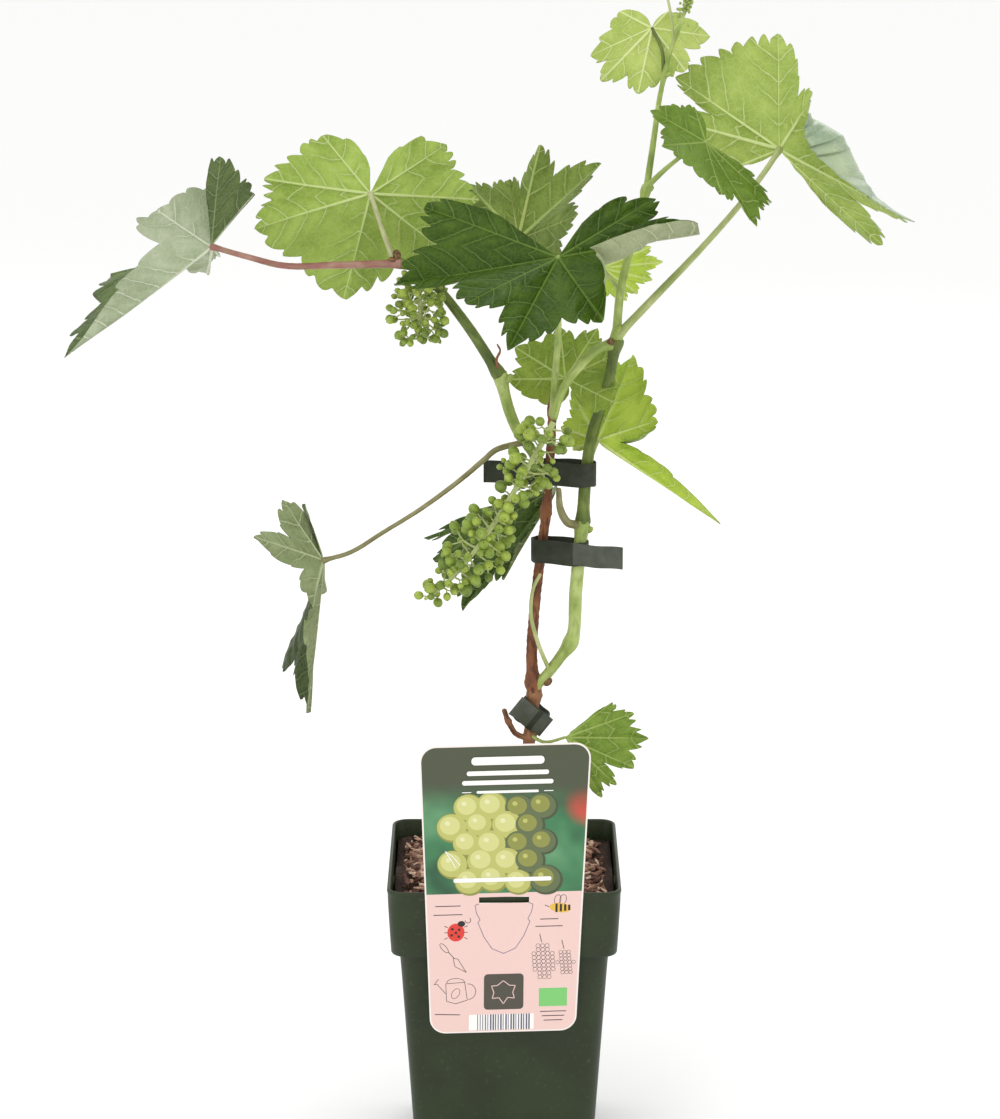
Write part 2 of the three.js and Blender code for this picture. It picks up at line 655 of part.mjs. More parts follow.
// ---------------------------------------------------------------- bunches of berries
function bunchGeometry(bunch) {
  const steps = bunch.radii.length - 1;
  const radiusAt = (u, i) => {
    const r = bunch.radii[Math.round(u * steps)];
    return r * (1 + BUNCH.knobs * Math.sin(i * 2.3 + u * 17));
  };
  return skinOverRings(barRings(bunch.route, radiusAt, steps, BUNCH.sides));
}

// ---------------------------------------------------------------- assembly
const vine = new THREE.Group();
const limbByName = new Map(LIMBS.map((limb) => [limb.name, limb]));
const fatLimbs = new Map();

function fatLimb(name) {
  if (!fatLimbs.has(name)) fatLimbs.set(name, toSolid(limbGeometry(limbByName.get(name), GAP)));
  return fatLimbs.get(name);
}

function addLimbs() {
  for (const limb of LIMBS) {
    let solid = toSolid(limbGeometry(limb));
    for (const name of limb.from ?? []) solid = solid.subtract(fatLimb(name));
    vine.add(meshOf(limb.name, toGeometry(solid), limb.colour));
  }
}

// Every leaf and bunch is cut clear of the limbs that pass through it.
function clearOfLimbs(geometry) {
  let solid = toSolid(geometry);
  for (const limb of LIMBS) {
    const meets = solid.intersect(fatLimb(limb.name)).volume() > 1e-3;
    if (meets) solid = solid.subtract(fatLimb(limb.name));
  }
  return toGeometry(solid.simplify(0.05));
}

vine.add(meshOf('pot', potGeometry(), COLOUR.pot, 0.45));
vine.add(meshOf('soil', soilGeometry(), COLOUR.soil, 0.95));
vine.add(meshOf('card', cardGeometry(), COLOUR.card, 0.4));
addLimbs();
for (const tie of TIES) vine.add(meshOf(tie.name, clearOfLimbs(tieGeometry(tie)), COLOUR.tie));
for (const leaf of LEAVES) vine.add(meshOf(leaf.name, clearOfLimbs(leafGeometry(leaf)), leaf.colour));
for (const bunch of BUNCHES) vine.add(meshOf(bunch.name, clearOfLimbs(bunchGeometry(bunch)), COLOUR.berry));

export default vine;
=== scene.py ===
# %% [markdown]
# # A young potted grapevine
#
# This lesson dresses a finished frame of plain solids as a living plant: a
# square nursery pot, bark mulch, a printed card, a woody cane, green shoots,
# thirteen lobed leaves and two bunches of unripe berries. The frame fixes every
# size. All lengths typed below are millimetres unless a name says otherwise.

# %% Frame and tools
import math
import random

import bpy
import numpy as np
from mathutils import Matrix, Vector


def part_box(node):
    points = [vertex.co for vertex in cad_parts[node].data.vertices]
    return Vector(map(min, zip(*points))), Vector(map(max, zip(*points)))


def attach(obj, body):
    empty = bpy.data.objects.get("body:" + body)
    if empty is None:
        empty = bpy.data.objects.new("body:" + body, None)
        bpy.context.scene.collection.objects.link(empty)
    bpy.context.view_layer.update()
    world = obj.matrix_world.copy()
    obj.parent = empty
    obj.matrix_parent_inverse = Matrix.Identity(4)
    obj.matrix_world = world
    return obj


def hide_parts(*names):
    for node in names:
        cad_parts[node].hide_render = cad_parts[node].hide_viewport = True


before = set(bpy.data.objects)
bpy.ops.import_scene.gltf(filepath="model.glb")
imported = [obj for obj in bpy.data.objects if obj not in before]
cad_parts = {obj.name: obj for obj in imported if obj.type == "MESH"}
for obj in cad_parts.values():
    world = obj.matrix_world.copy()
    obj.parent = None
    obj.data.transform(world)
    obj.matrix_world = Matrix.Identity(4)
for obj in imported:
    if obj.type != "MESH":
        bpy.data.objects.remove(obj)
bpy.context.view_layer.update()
MM = 0.001
print("solids in the frame:", len(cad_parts))

# %% [markdown]
# Screens store colour in sRGB, while light is worked out in linear values, so
# one function turns a hex colour into a linear one. One more function adds a
# node, sets its sockets or properties, and makes its links.


# %% Colour and node helpers
def linear(hex_colour):
    """The linear RGBA of an sRGB hex colour such as "#4d692a"."""
    parts = [int(hex_colour[i:i + 2], 16) / 255 for i in (1, 3, 5)]
    return [c / 12.92 if c <= 0.04045 else ((c + 0.055) / 1.055) ** 2.4 for c in parts] + [1.0]


def add_node(material, kind, settings=None, links=None):
    """Adds a node. A setting names a socket or a property; a link maps a socket to an output."""
    node = material.node_tree.nodes.new("ShaderNode" + kind)
    for key, value in (settings or {}).items():
        if isinstance(key, int) or key in node.inputs:
            node.inputs[key].default_value = value
        else:
            setattr(node, key, value)
    for key, output in (links or {}).items():
        material.node_tree.links.new(output, node.inputs[key])
    return node


def new_material(name, base, roughness, ior=1.45, **sockets):
    """A Principled material with constant settings. `base` is a hex colour."""
    material = bpy.data.materials.new(name)
    material.use_nodes = True
    shader = material.node_tree.nodes["Principled BSDF"]
    shader.inputs["Base Color"].default_value = linear(base)
    shader.inputs["Roughness"].default_value = roughness
    shader.inputs["IOR"].default_value = ior
    for key, value in sockets.items():
        shader.inputs[key.replace("_", " ")].default_value = value
    return material


def finish_material(material, colour=None, roughness=None, height=None, depth=0.2):
    """Plugs pattern outputs into the shader. `depth` is the relief in millimetres."""
    shader = material.node_tree.nodes["Principled BSDF"]
    if colour is not None:
        material.node_tree.links.new(colour, shader.inputs["Base Color"])
    if roughness is not None:
        material.node_tree.links.new(roughness, shader.inputs["Roughness"])
    if height is not None:
        bump = add_node(material, "Bump", {"Strength": 0.8, "Distance": depth * MM}, {"Height": height})
        material.node_tree.links.new(bump.outputs["Normal"], shader.inputs["Normal"])
    return material


def noise(material, size, detail=3.0):
    """A noise whose blotches are about `size` millimetres across, in the object's own space."""
    where = add_node(material, "TexCoord").outputs["Object"]
    settings = {"Scale": 1 / (size * MM), "Detail": detail}
    return add_node(material, "TexNoise", settings, {"Vector": where}).outputs["Fac"]


def ramp(material, factor, stops):
    """A colour ramp. `stops` are (place, hex) pairs."""
    node = add_node(material, "ValToRGB", None, {"Fac": factor})
    elements = node.color_ramp.elements
    while len(elements) < len(stops):
        elements.new(0.5)
    for element, (place, colour) in zip(elements, stops):
        element.position = place
        element.color = linear(colour)
    return node.outputs["Color"]


def blend_colours(material, factor, first, second):
    """Mixes two colours. Each is a hex colour or an output; the factor is a number or an output."""
    node = add_node(material, "Mix", {"data_type": "RGBA"})
    for index, value in ((0, factor), (6, first), (7, second)):
        if isinstance(value, str):
            node.inputs[index].default_value = linear(value)
        elif isinstance(value, (int, float)):
            node.inputs[index].default_value = value
        else:
            material.node_tree.links.new(value, node.inputs[index])
    return node.outputs[2]


def calc(material, operation, first, second=0.0, third=0.0):
    """One step of arithmetic on numbers or outputs."""
    node = add_node(material, "Math", {"operation": operation})
    for index, value in enumerate((first, second, third)):
        if isinstance(value, (int, float)):
            node.inputs[index].default_value = value
        else:
            material.node_tree.links.new(value, node.inputs[index])
    return node.outputs[0]


def step_down(material, value, full, gone):
    """1 while `value` is below `full`, easing to 0 at `gone`."""
    settings = {"interpolation_type": "SMOOTHSTEP", "From Min": full, "From Max": gone}
    settings |= {"To Min": 1.0, "To Max": 0.0}
    return add_node(material, "MapRange", settings, {"Value": value}).outputs[0]


print("helpers ready")

# %% [markdown]
# Every piece is a mesh made from arrays of points in millimetres. One function
# turns such arrays into a Blender object, hides the solid that it stands for, and
# makes it ride on the frame's one body.


# %% Piece helper
def make_piece(name, points, faces, materials, node=None, slot=None, face_material=None, uvs=None,
               smooth=True):
    """Builds an object. `uvs` maps a UV name to one (u, v) row for every face corner."""
    mesh = bpy.data.meshes.new(name)
    mesh.from_pydata((np.asarray(points, float) * MM).tolist(), [], [list(map(int, f)) for f in faces])
    for material in materials:
        mesh.materials.append(material)
    if face_material is not None:
        mesh.polygons.foreach_set("material_index", np.asarray(face_material, int))
    mesh.polygons.foreach_set("use_smooth", [smooth] * len(mesh.polygons))
    for uv_name, rows in (uvs or {}).items():
        layer = mesh.uv_layers.new(name=uv_name)
        layer.data.foreach_set("uv", np.asarray(rows, float).ravel())
    mesh.update()
    piece = bpy.data.objects.new(name, mesh)
    bpy.context.scene.collection.objects.link(piece)
    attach(piece, "root")
    if node is not None:
        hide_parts(node)
    return piece


class Batch:
    """Collects many small closed meshes, with a material number for each, into one piece."""

    def __init__(self):
        self.points = []
        self.faces = []
        self.materials = []
        self.count = 0

    def add(self, points, faces, material=0):
        self.points.append(np.asarray(points, float))
        self.faces += [[i + self.count for i in face] for face in faces]
        self.materials += [material] * len(faces)
        self.count += len(points)

    def piece(self, name, materials, **rest):
        made = make_piece(
            name, np.vstack(self.points), self.faces, materials, face_material=self.materials, **rest
        )
        print(f"{name}: {len(self.faces)} faces")
        return made


# %% [markdown]
# ## The camera
#
# The camera stands about two metres away, a little above the plant,
# with a long lens that looks down by fourteen and a half degrees.

# %% Camera
CAMERA = {"place": (-2.3, -2023.6, 864.8), "down": 14.45, "lens": 120.64}
camera_data = bpy.data.cameras.new("long lens")
camera_data.lens = CAMERA["lens"]
camera_data.sensor_width = 36
camera = bpy.data.objects.new("camera", camera_data)
camera.location = [c * MM for c in CAMERA["place"]]
camera.rotation_euler = (math.radians(90 - CAMERA["down"]), 0, 0)
bpy.context.scene.collection.objects.link(camera)
bpy.context.scene.camera = camera
print("camera set", CAMERA["lens"], "mm")

# %% [markdown]
# ## Soft studio light
#
# A product shot on white has a big soft light above and in front, a fill on
# each side, and a bright surround that lifts the shadows.


# %% Floor and lights
def area_light(name, place, aim, size, power):
    """A round soft light at `place` that faces `aim`; metres and watts."""
    data = bpy.data.lights.new(name, "AREA")
    data.shape = "DISK"
    data.size = size
    data.energy = power
    lamp = bpy.data.objects.new(name, data)
    lamp.location = place
    direction = np.array(aim) - np.array(place)
    yaw = math.atan2(direction[1], direction[0]) - math.pi / 2
    tilt = math.atan2(math.hypot(direction[0], direction[1]), -direction[2])
    lamp.rotation_euler = (tilt, 0, yaw)
    bpy.context.scene.collection.objects.link(lamp)


PLANT_MIDDLE = (0, 0, 0.4)
area_light("key", (-0.9, -1.5, 2.1), PLANT_MIDDLE, 1.4, 11)
area_light("fill", (1.7, -1.2, 1.1), PLANT_MIDDLE, 1.6, 4)
area_light("back", (0.5, 1.7, 1.6), PLANT_MIDDLE, 1.6, 9)

world = bpy.data.worlds.new("white surround")
bpy.context.scene.world = world
world.use_nodes = True
world.node_tree.nodes["Background"].inputs["Color"].default_value = (1, 1, 1, 1)
world.node_tree.nodes["Background"].inputs["Strength"].default_value = 1.0
bpy.context.scene.view_settings.view_transform = "Standard"

FLOOR_HALF = 30000
floor_points = [(-FLOOR_HALF, -FLOOR_HALF, -0.2), (FLOOR_HALF, -FLOOR_HALF, -0.2),
                (FLOOR_HALF, FLOOR_HALF, -0.2), (-FLOOR_HALF, FLOOR_HALF, -0.2)]
floor_mesh = bpy.data.meshes.new("floor")
floor_mesh.from_pydata((np.array(floor_points) * MM).tolist(), [], [(0, 1, 2, 3)])
floor_mesh.materials.append(new_material("matt white paper sweep", "#fbfbfa", 0.9))
floor = bpy.data.objects.new("floor", floor_mesh)
bpy.context.scene.collection.objects.link(floor)
print("stage set")

# %% [markdown]
# ## The nursery pot
#
# The pot is injection moulded polypropylene, dark olive green, with a deep rim
# band that gives the thin wall its stiffness. The skin comes out of a satin
# mould, so it is even, softly shiny, and slightly dusty. It is lofted from
# rounded squares, one for each level of its profile, with every edge eased as
# moulded edges are. Two card slots are left open in the rim's sides, and four
# drain holes in the floor.

# %% Plastic for the pot
pot_plastic = new_material("moulded polypropylene", "#26321a", 0.46, ior=1.49, Specular_IOR_Level=0.35)
pot_cloud = noise(pot_plastic, 45, 4)
pot_dust = noise(pot_plastic, 2.5, 5)
pot_colour = ramp(pot_plastic, pot_cloud, [(0.35, "#202b15"), (0.65, "#29351b")])
pot_colour = blend_colours(pot_plastic, step_down(pot_plastic, pot_dust, 0.25, 0.42), pot_colour, "#333e26")
pot_rough = calc(pot_plastic, "MULTIPLY_ADD", pot_cloud, 0.25, 0.32)
finish_material(pot_plastic, pot_colour, pot_rough, noise(pot_plastic, 0.9, 2), 0.05)
print("made", pot_plastic.name)


# %% Lofting rounded squares
def square_ring(half, level, corner, steps=8):
    """Points round a square with rounded corners, anticlockwise from the +X side."""
    corner = max(min(corner, half), 0.2)
    ring = []
    for quarter in range(4):
        start = quarter * math.pi / 2
        centre = (half - corner) * math.sqrt(2)
        cx = centre * math.cos(start + math.pi / 4)
        cy = centre * math.sin(start + math.pi / 4)
        for i in range(steps + 1):
            a = start + i / steps * math.pi / 2
            ring.append((cx + corner * math.cos(a), cy + corner * math.sin(a), level))
    return ring


def side_points(ring, extra=10):
    """Adds points along the straight sides, so that the walls can take holes and waves."""
    filled = []
    for i, (x, y, z) in enumerate(ring):
        filled.append((x, y, z))
        nx, ny, nz = ring[(i + 1) % len(ring)]
        if math.hypot(nx - x, ny - y) > 20:
            for k in range(1, extra):
                t = k / extra
                filled.append((x + (nx - x) * t, y + (ny - y) * t, z + (nz - z) * t))
    return filled


def loft(rings, close_ends=True):
    """Faces between rings of equal length, with the ends closed by one face each."""
    count = len(rings[0])
    points = [p for ring in rings for p in ring]
    faces = []
    for r in range(len(rings) - 1):
        for i in range(count):
            a, b = r * count + i, r * count + (i + 1) % count
            faces.append((a, b, b + count, a + count))
    if close_ends:
        faces.append(tuple(reversed(range(count))))
        faces.append(tuple(range((len(rings) - 1) * count, len(rings) * count)))
    return points, faces


print("lofting ready")

# %% The pot
pot_high = np.array(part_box("pot")[1]) / MM
POT = {
    "height": pot_high[2],
    "rim": pot_high[0],
    "band_foot": pot_high[0] - 2.0,  # half widths of the square outline, from the band down
    "skirt": 58.3,
    "base": 49.8,
    "band_low": 131,
    "corner": 9,
    "wall": 1.8,
    "floor": 2.5,
}


def pot_half_at(level):
    """The half width of the pot's outer wall under the band."""
    return POT["base"] + (POT["skirt"] - POT["base"]) * level / POT["band_low"]


def pot_profile():
    """(half width, level, corner radius) for each ring, up the outside and down the inside."""
    base, skirt, foot, rim = (POT[key] for key in ("base", "skirt", "band_foot", "rim"))
    floor, band, top = (POT[key] for key in ("floor", "band_low", "height"))
    wall, corner = POT["wall"], POT["corner"]
    outside = [(base - 4, 0.9), (base - 3.2, 0), (base - 1.2, 0), (base - 0.3, 0.5), (base, 1.6)]
    outside += [(pot_half_at(z), z) for z in (20, 45, 70, 95, 118)]
    outside += [(skirt - 0.1, band - 3), (skirt + 0.1, band - 1), (skirt + 0.8, band - 0.2)]
    outside += [(foot - 1.4, band), (foot - 0.4, band + 0.4), (foot, band + 1.4)]
    outside += [(foot + (rim - foot) * s, band + (top - band) * s) for s in (0.25, 0.5, 0.75)]
    outside += [(rim - 0.3, top - 2.6), (rim, top - 2.0), (rim, top - 0.8)]
    outside += [(rim - 0.35, top - 0.1), (rim - 0.9, top)]
    inside = [(rim - 1.6, top - 0.2), (rim - wall - 0.1, top - 0.9), (rim - wall - 0.4, top - 12)]
    inside += [(foot - wall, band + wall + 1), (foot - wall - 1, band + wall)]
    inside += [(skirt - wall + 0.8, band + wall), (skirt - wall, band + wall - 1.2)]
    inside += [(base - wall + 0.1, floor + 1), (base - wall - 1, floor)]
    return [(h, z, corner) for h, z in outside] + [(h, z, corner - wall) for h, z in inside]


pot_points, pot_faces = loft([side_points(square_ring(h, z, c)) for h, z, c in pot_profile()])
pot = make_piece("pot_moulding", pot_points, pot_faces, [pot_plastic], node="pot", slot="pot")


def cutter(name, points, faces):
    """A closed shape used only to cut an opening."""
    mesh = bpy.data.meshes.new(name)
    mesh.from_pydata((np.array(points) * MM).tolist(), [], faces)
    shape = bpy.data.objects.new(name, mesh)
    bpy.context.scene.collection.objects.link(shape)
    return shape


def block_cutter(name, low, high):
    """A plain block between two corners."""
    corners = [(x, y, z) for x in (low[0], high[0]) for y in (low[1], high[1]) for z in (low[2], high[2])]
    faces = [(0, 1, 3, 2), (4, 6, 7, 5), (0, 4, 5, 1), (2, 3, 7, 6), (0, 2, 6, 4), (1, 5, 7, 3)]
    return cutter(name, corners, faces)


def round_cutter(name, x, y, radius, low, high, sides=24):
    """An upright round bar between two levels."""
    angles = [2 * math.pi * i / sides for i in range(sides)]
    rings = [[(x + radius * math.cos(a), y + radius * math.sin(a), z) for a in angles] for z in (low, high)]
    return cutter(name, *loft(rings))


def cut(piece, block):
    """Cuts a block out of a piece for good, and removes the block."""
    modifier = piece.modifiers.new("cut", "BOOLEAN")
    modifier.operation = "DIFFERENCE"
    modifier.solver = "EXACT"
    modifier.object = block
    graph = bpy.context.evaluated_depsgraph_get()
    mesh = bpy.data.meshes.new_from_object(piece.evaluated_get(graph))
    piece.modifiers.clear()
    old = piece.data
    piece.data = mesh
    bpy.data.meshes.remove(old)
    bpy.data.objects.remove(block)


SLOT = {"low": 155, "high": 167, "half": 8, "reach": 8}
for side in (-1, 1):
    near, far = side * POT["rim"] - SLOT["reach"], side * POT["rim"] + SLOT["reach"]
    cut(pot, block_cutter("slot", (near, -SLOT["half"], SLOT["low"]), (far, SLOT["half"], SLOT["high"])))
DRAIN = {"radius": 5, "at": 34}
for x in (-DRAIN["at"], DRAIN["at"]):
    for y in (-DRAIN["at"], DRAIN["at"]):
        cut(pot, round_cutter("drain", x, y, DRAIN["radius"], -1, POT["floor"] + 1))
print("pot:", len(pot.data.polygons), "faces")

# %% [markdown]
# ## Potting mix and bark mulch
#
# The pot holds a dark, damp peat mix, topped with shredded bark: flat splinters
# from reddish brown to pale tan, five to twenty millimetres long, lying at all
# angles. The bed is a rolling surface inside the wall. Each splinter is its own
# small closed sliver with broken ends, dropped at random from a fixed seed.

# %% Soil and bark materials
peat = new_material("damp peat", "#2c1d15", 0.95)
peat_grain = noise(peat, 1.6, 6)
finish_material(peat, ramp(peat, peat_grain, [(0.3, "#160e0a"), (0.7, "#4a3224")]), None, peat_grain, 1.2)

BARK_TONES = {
    "dark red bark": ("#6b4433", "#38211a"),
    "brown bark": ("#a07a64", "#67493a"),
    "tan bark": ("#cfab92", "#9c7862"),
    "pale inner bark": ("#ecd5bf", "#c4a288"),
}
chip_materials = []
for tone, (light, dark) in BARK_TONES.items():
    chip_bark = new_material(tone, light, 0.85)
    fibre = noise(chip_bark, 1.4, 4)
    finish_material(chip_bark, ramp(chip_bark, fibre, [(0.3, dark), (0.7, light)]), None, fibre, 0.5)
    chip_materials.append(chip_bark)
print("mulch tones:", len(chip_materials))

# %% The bed
SOIL = {"top": 160, "corner": 6, "side_points": 8, "shares": np.linspace(1, 0.04, 18)[:15]}
TRUNK_FOOT = 4.5  # along X
bed_half = POT["rim"] - POT["wall"] - 1.6


def bed_height(x, y):
    """The rolling top of the peat, in millimetres."""
    roll = 2.0 * math.sin(x * 0.09 + 1) * math.cos(y * 0.11) + 1.1 * math.sin(x * 0.31 - y * 0.23)
    away = min(1, math.hypot(x - TRUNK_FOOT, y) / 22)
    return SOIL["top"] + roll * away - 1.0


bed_levels = [(POT["base"] - 3, POT["floor"] + 0.6), (POT["skirt"] - 3, 128)]
bed_levels += [(bed_half - 1, 137), (bed_half, SOIL["top"] - 4)]
bed_rings = [side_points(square_ring(half, z, SOIL["corner"]), SOIL["side_points"]) for half, z in bed_levels]
for share in SOIL["shares"]:
    flat = side_points(square_ring(bed_half * share, 0, SOIL["corner"] * share), SOIL["side_points"])
    bed_rings.append([(x, y, bed_height(x, y)) for x, y, _ in flat])
bed_points, bed_faces = loft(bed_rings)
make_piece("peat_bed", bed_points, bed_faces, [peat], node="soil", slot="potting_soil")
print("bed rings:", len(bed_rings))


# %% Bark splinters
def sliver(length, width, thick, rng):
    """A closed splinter along X: a bent, tapering strip with broken ends."""
    stations = 6
    bend = rng.uniform(-0.12, 0.12) * length
    points = []
    for s in range(stations):
        u = s / (stations - 1)
        wide = width * (0.35 + 0.65 * math.sin(math.pi * (0.12 + 0.76 * u))) * rng.uniform(0.8, 1.1)
        x = (u - 0.5) * length
        lift = bend * (u - 0.5) ** 2 * 2
        side = rng.uniform(-0.08, 0.08) * width
        for across, up in ((-0.5, 0.1), (-0.2, 0.5), (0.25, 0.45), (0.5, -0.05), (0.1, -0.5), (-0.3, -0.4)):
            points.append((x + rng.uniform(-0.03, 0.03) * length, across * wide + side, up * thick + lift))
    _, faces = loft([[(0, 0, 0)] * 6] * stations)
    return np.array(points), faces


def turned(points, yaw, pitch, roll, place):
    """Points rolled about X, pitched about Y, turned about Z and moved."""
    cr, sr, cp, sp, cy, sy = (f(a) for a in (roll, pitch, yaw) for f in (math.cos, math.sin))
    spin = np.array([[cy, -sy, 0], [sy, cy, 0], [0, 0, 1]])
    spin = spin @ np.array([[cp, 0, sp], [0, 1, 0], [-sp, 0, cp]])
    spin = spin @ np.array([[1, 0, 0], [0, cr, -sr], [0, sr, cr]])
    return points @ spin.T + np.array(place)


CHIPS = {
    "count": 1500, "long": (6, 19), "share_wide": 0.23, "thick": (0.9, 2.2), "lift": (-0.5, 3.2), "clear": 8,
    "weights": (4, 6, 4, 1.8), "seed": 11,
}
rng = random.Random(CHIPS["seed"])
reach = bed_half - 4
chips = Batch()
for _ in range(CHIPS["count"]):
    x, y = rng.uniform(-reach, reach), rng.uniform(-reach, reach)
    length = rng.uniform(*CHIPS["long"]) * rng.choice((0.6, 0.8, 1.0))
    width = length * CHIPS["share_wide"] * rng.uniform(0.6, 1.5)
    if math.hypot(x - TRUNK_FOOT, y) < CHIPS["clear"]:
        continue
    yaw = rng.uniform(0, 2 * math.pi)
    over_x, over_y = abs(x) + abs(math.cos(yaw)) * length / 2, abs(y) + abs(math.sin(yaw)) * length / 2
    if max(over_x, over_y) > reach:
        continue
    points, faces = sliver(length, width, rng.uniform(*CHIPS["thick"]), rng)
    place = (x, y, bed_height(x, y) + rng.uniform(*CHIPS["lift"]))
    tone = rng.choices(range(4), weights=CHIPS["weights"])[0]
    chips.add(turned(points, yaw, rng.uniform(-0.3, 0.3), rng.uniform(-0.5, 0.5), place), faces, tone)
chips.piece("bark_mulch", chip_materials, slot="potting_soil", smooth=False)

# %% [markdown]
# ## Bars that grow
#
# Stems, leaf stalks, tendrils and the stalks inside a bunch are all bars that
# bend through a few places and taper. A centripetal Catmull-Rom curve passes
# through the same places as the frame's solids. The ring of points is carried
# along the curve so that it doesn't twist, and swells at each joint of the stem.


# %% Sweeping a bar
def smooth_route(route, step):
    """Evenly spaced points on the centripetal Catmull-Rom curve through a route."""
    p = np.array(route, float)
    if len(p) == 2:
        dense = p[0] + (p[1] - p[0]) * np.linspace(0, 1, 60)[:, None]
    else:
        p = np.vstack([2 * p[0] - p[1], p, 2 * p[-1] - p[-2]])
        dense = []
        for i in range(1, len(p) - 2):
            k = [0.0]
            for j in range(i - 1, i + 2):
                k.append(k[-1] + max(np.linalg.norm(p[j + 1] - p[j]), 1e-6) ** 0.5)
            t = np.linspace(k[1], k[2], 40, endpoint=i == len(p) - 3)[:, None]
            a1 = (k[1] - t) / (k[1] - k[0]) * p[i - 1] + (t - k[0]) / (k[1] - k[0]) * p[i]
            a2 = (k[2] - t) / (k[2] - k[1]) * p[i] + (t - k[1]) / (k[2] - k[1]) * p[i + 1]
            a3 = (k[3] - t) / (k[3] - k[2]) * p[i + 1] + (t - k[2]) / (k[3] - k[2]) * p[i + 2]
            b1 = (k[2] - t) / (k[2] - k[0]) * a1 + (t - k[0]) / (k[2] - k[0]) * a2
            b2 = (k[3] - t) / (k[3] - k[1]) * a2 + (t - k[1]) / (k[3] - k[1]) * a3
            dense.append((k[2] - t) / (k[2] - k[1]) * b1 + (t - k[1]) / (k[2] - k[1]) * b2)
        dense = np.vstack(dense)
    along = np.concatenate([[0], np.cumsum(np.linalg.norm(np.diff(dense, axis=0), axis=1))])
    count = max(3, int(round(along[-1] / step)) + 1)
    want = np.linspace(0, along[-1], count)
    return np.stack([np.interp(want, along, dense[:, i]) for i in range(3)], 1), want


def carried_frames(line):
    """The two directions across a line at each point, carried along without a twist."""
    ahead = np.gradient(line, axis=0)
    ahead /= np.linalg.norm(ahead, axis=1, keepdims=True)
    across = np.array([1.0, 0, 0]) if abs(ahead[0][0]) < 0.9 else np.array([0, 1.0, 0])
    sides, others = [], []
    for a in ahead:
        across = across - a * (across @ a)
        across /= np.linalg.norm(across)
        sides.append(across)
        others.append(np.cross(a, across))
    return np.array(sides), np.array(others)


def bar(route, radii, sides=12, step=1.5, knots=(), ridge=0.0, rough=0.0, seed=0):
    """A tapering bar as points, faces and face-corner UVs (round the bar, along the bar; millimetres).

    A knot is (share of the way, swelling in millimetres, length in millimetres).
    """
    line, along = smooth_route(route, step)
    side, other = carried_frames(line)
    share = along / along[-1]
    radius = np.interp(share, np.linspace(0, 1, len(radii)), radii)
    for place, swell, reach in knots:
        radius = radius + swell * np.exp(-(((share - place) * along[-1]) / reach) ** 2)
    angle = np.linspace(0, 2 * math.pi, sides, endpoint=False)
    grid_radius = radius[:, None] * (1 + ridge * np.cos(angle * 5 + seed)[None, :])
    wave = np.sin(angle[None, :] * 3 + along[:, None] * 0.9 + seed) * np.sin(along[:, None] * 0.37 + seed * 2)
    wave += 0.6 * np.sin(angle[None, :] * 7 - along[:, None] * 1.7 + seed)
    grid_radius = grid_radius + rough * wave
    offsets = np.cos(angle)[None, :, None] * side[:, None, :]
    offsets = offsets + np.sin(angle)[None, :, None] * other[:, None, :]
    points = line[:, None, :] + grid_radius[:, :, None] * offsets
    rings = list(points)
    tip = line[-1] + (line[-1] - line[-2]) / np.linalg.norm(line[-1] - line[-2]) * radius[-1] * 0.7
    rings.append(line[-1] + (points[-1] - line[-1]) * 0.6 + (tip - line[-1]) * 0.7)
    faces = []
    uvs = []
    for r in range(len(rings) - 1):
        v0, v1 = (along[min(q, len(along) - 1)] for q in (r, r + 1))
        for i in range(sides):
            a, b = r * sides + i, r * sides + (i + 1) % sides
            faces.append((a, b, b + sides, a + sides))
            u0, u1 = i / sides, (i + 1) / sides
            uvs += [(u0, v0), (u1, v0), (u1, v1), (u0, v1)]
    count = len(rings) * sides
    faces.append(tuple(reversed(range(sides))))
    faces.append(tuple(range(count - sides, count)))
    uvs += [(0, 0)] * sides + [(0, along[-1])] * sides
    return np.vstack(rings), faces, uvs


print("bars ready")

# %% [markdown]
# ## Cane and shoots
#
# The old cane is last year's wood: reddish brown, with fine ridges along it and
# pale flecks. This year's shoots are smooth and green, paler and waxy where they
# are youngest, with a red flush along some stalks. The colours vary along and
# round the bar, so the patterns run on a map that goes round and along it.


# %% Stem materials
def stem_material(name, tones, flush, roughness, streak):
    """A stem's skin. `tones` are dark, middle and light; `flush` is the colour of its streaks."""
    skin = new_material(name, tones[1], roughness)
    blotch = noise(skin, 14, 3)
    base = ramp(skin, blotch, [(0.3, tones[0]), (0.52, tones[1]), (0.75, tones[2])])
    round_map = add_node(skin, "UVMap", {"uv_map": "AlongBar"}).outputs[0]
    stretch = add_node(skin, "Mapping", {"Scale": (9, 0.12, 1)}, {"Vector": round_map})
    fibre = add_node(skin, "TexNoise", {"Scale": 1.0, "Detail": 4.0}, {"Vector": stretch.outputs[0]})
    fibre = fibre.outputs["Fac"]
    streaks = step_down(skin, fibre, 0.36, 0.52)
    base = blend_colours(skin, calc(skin, "MULTIPLY", streaks, streak), base, flush)
    return finish_material(skin, base, None, fibre, 0.35 if streak > 0.5 else 0.12)


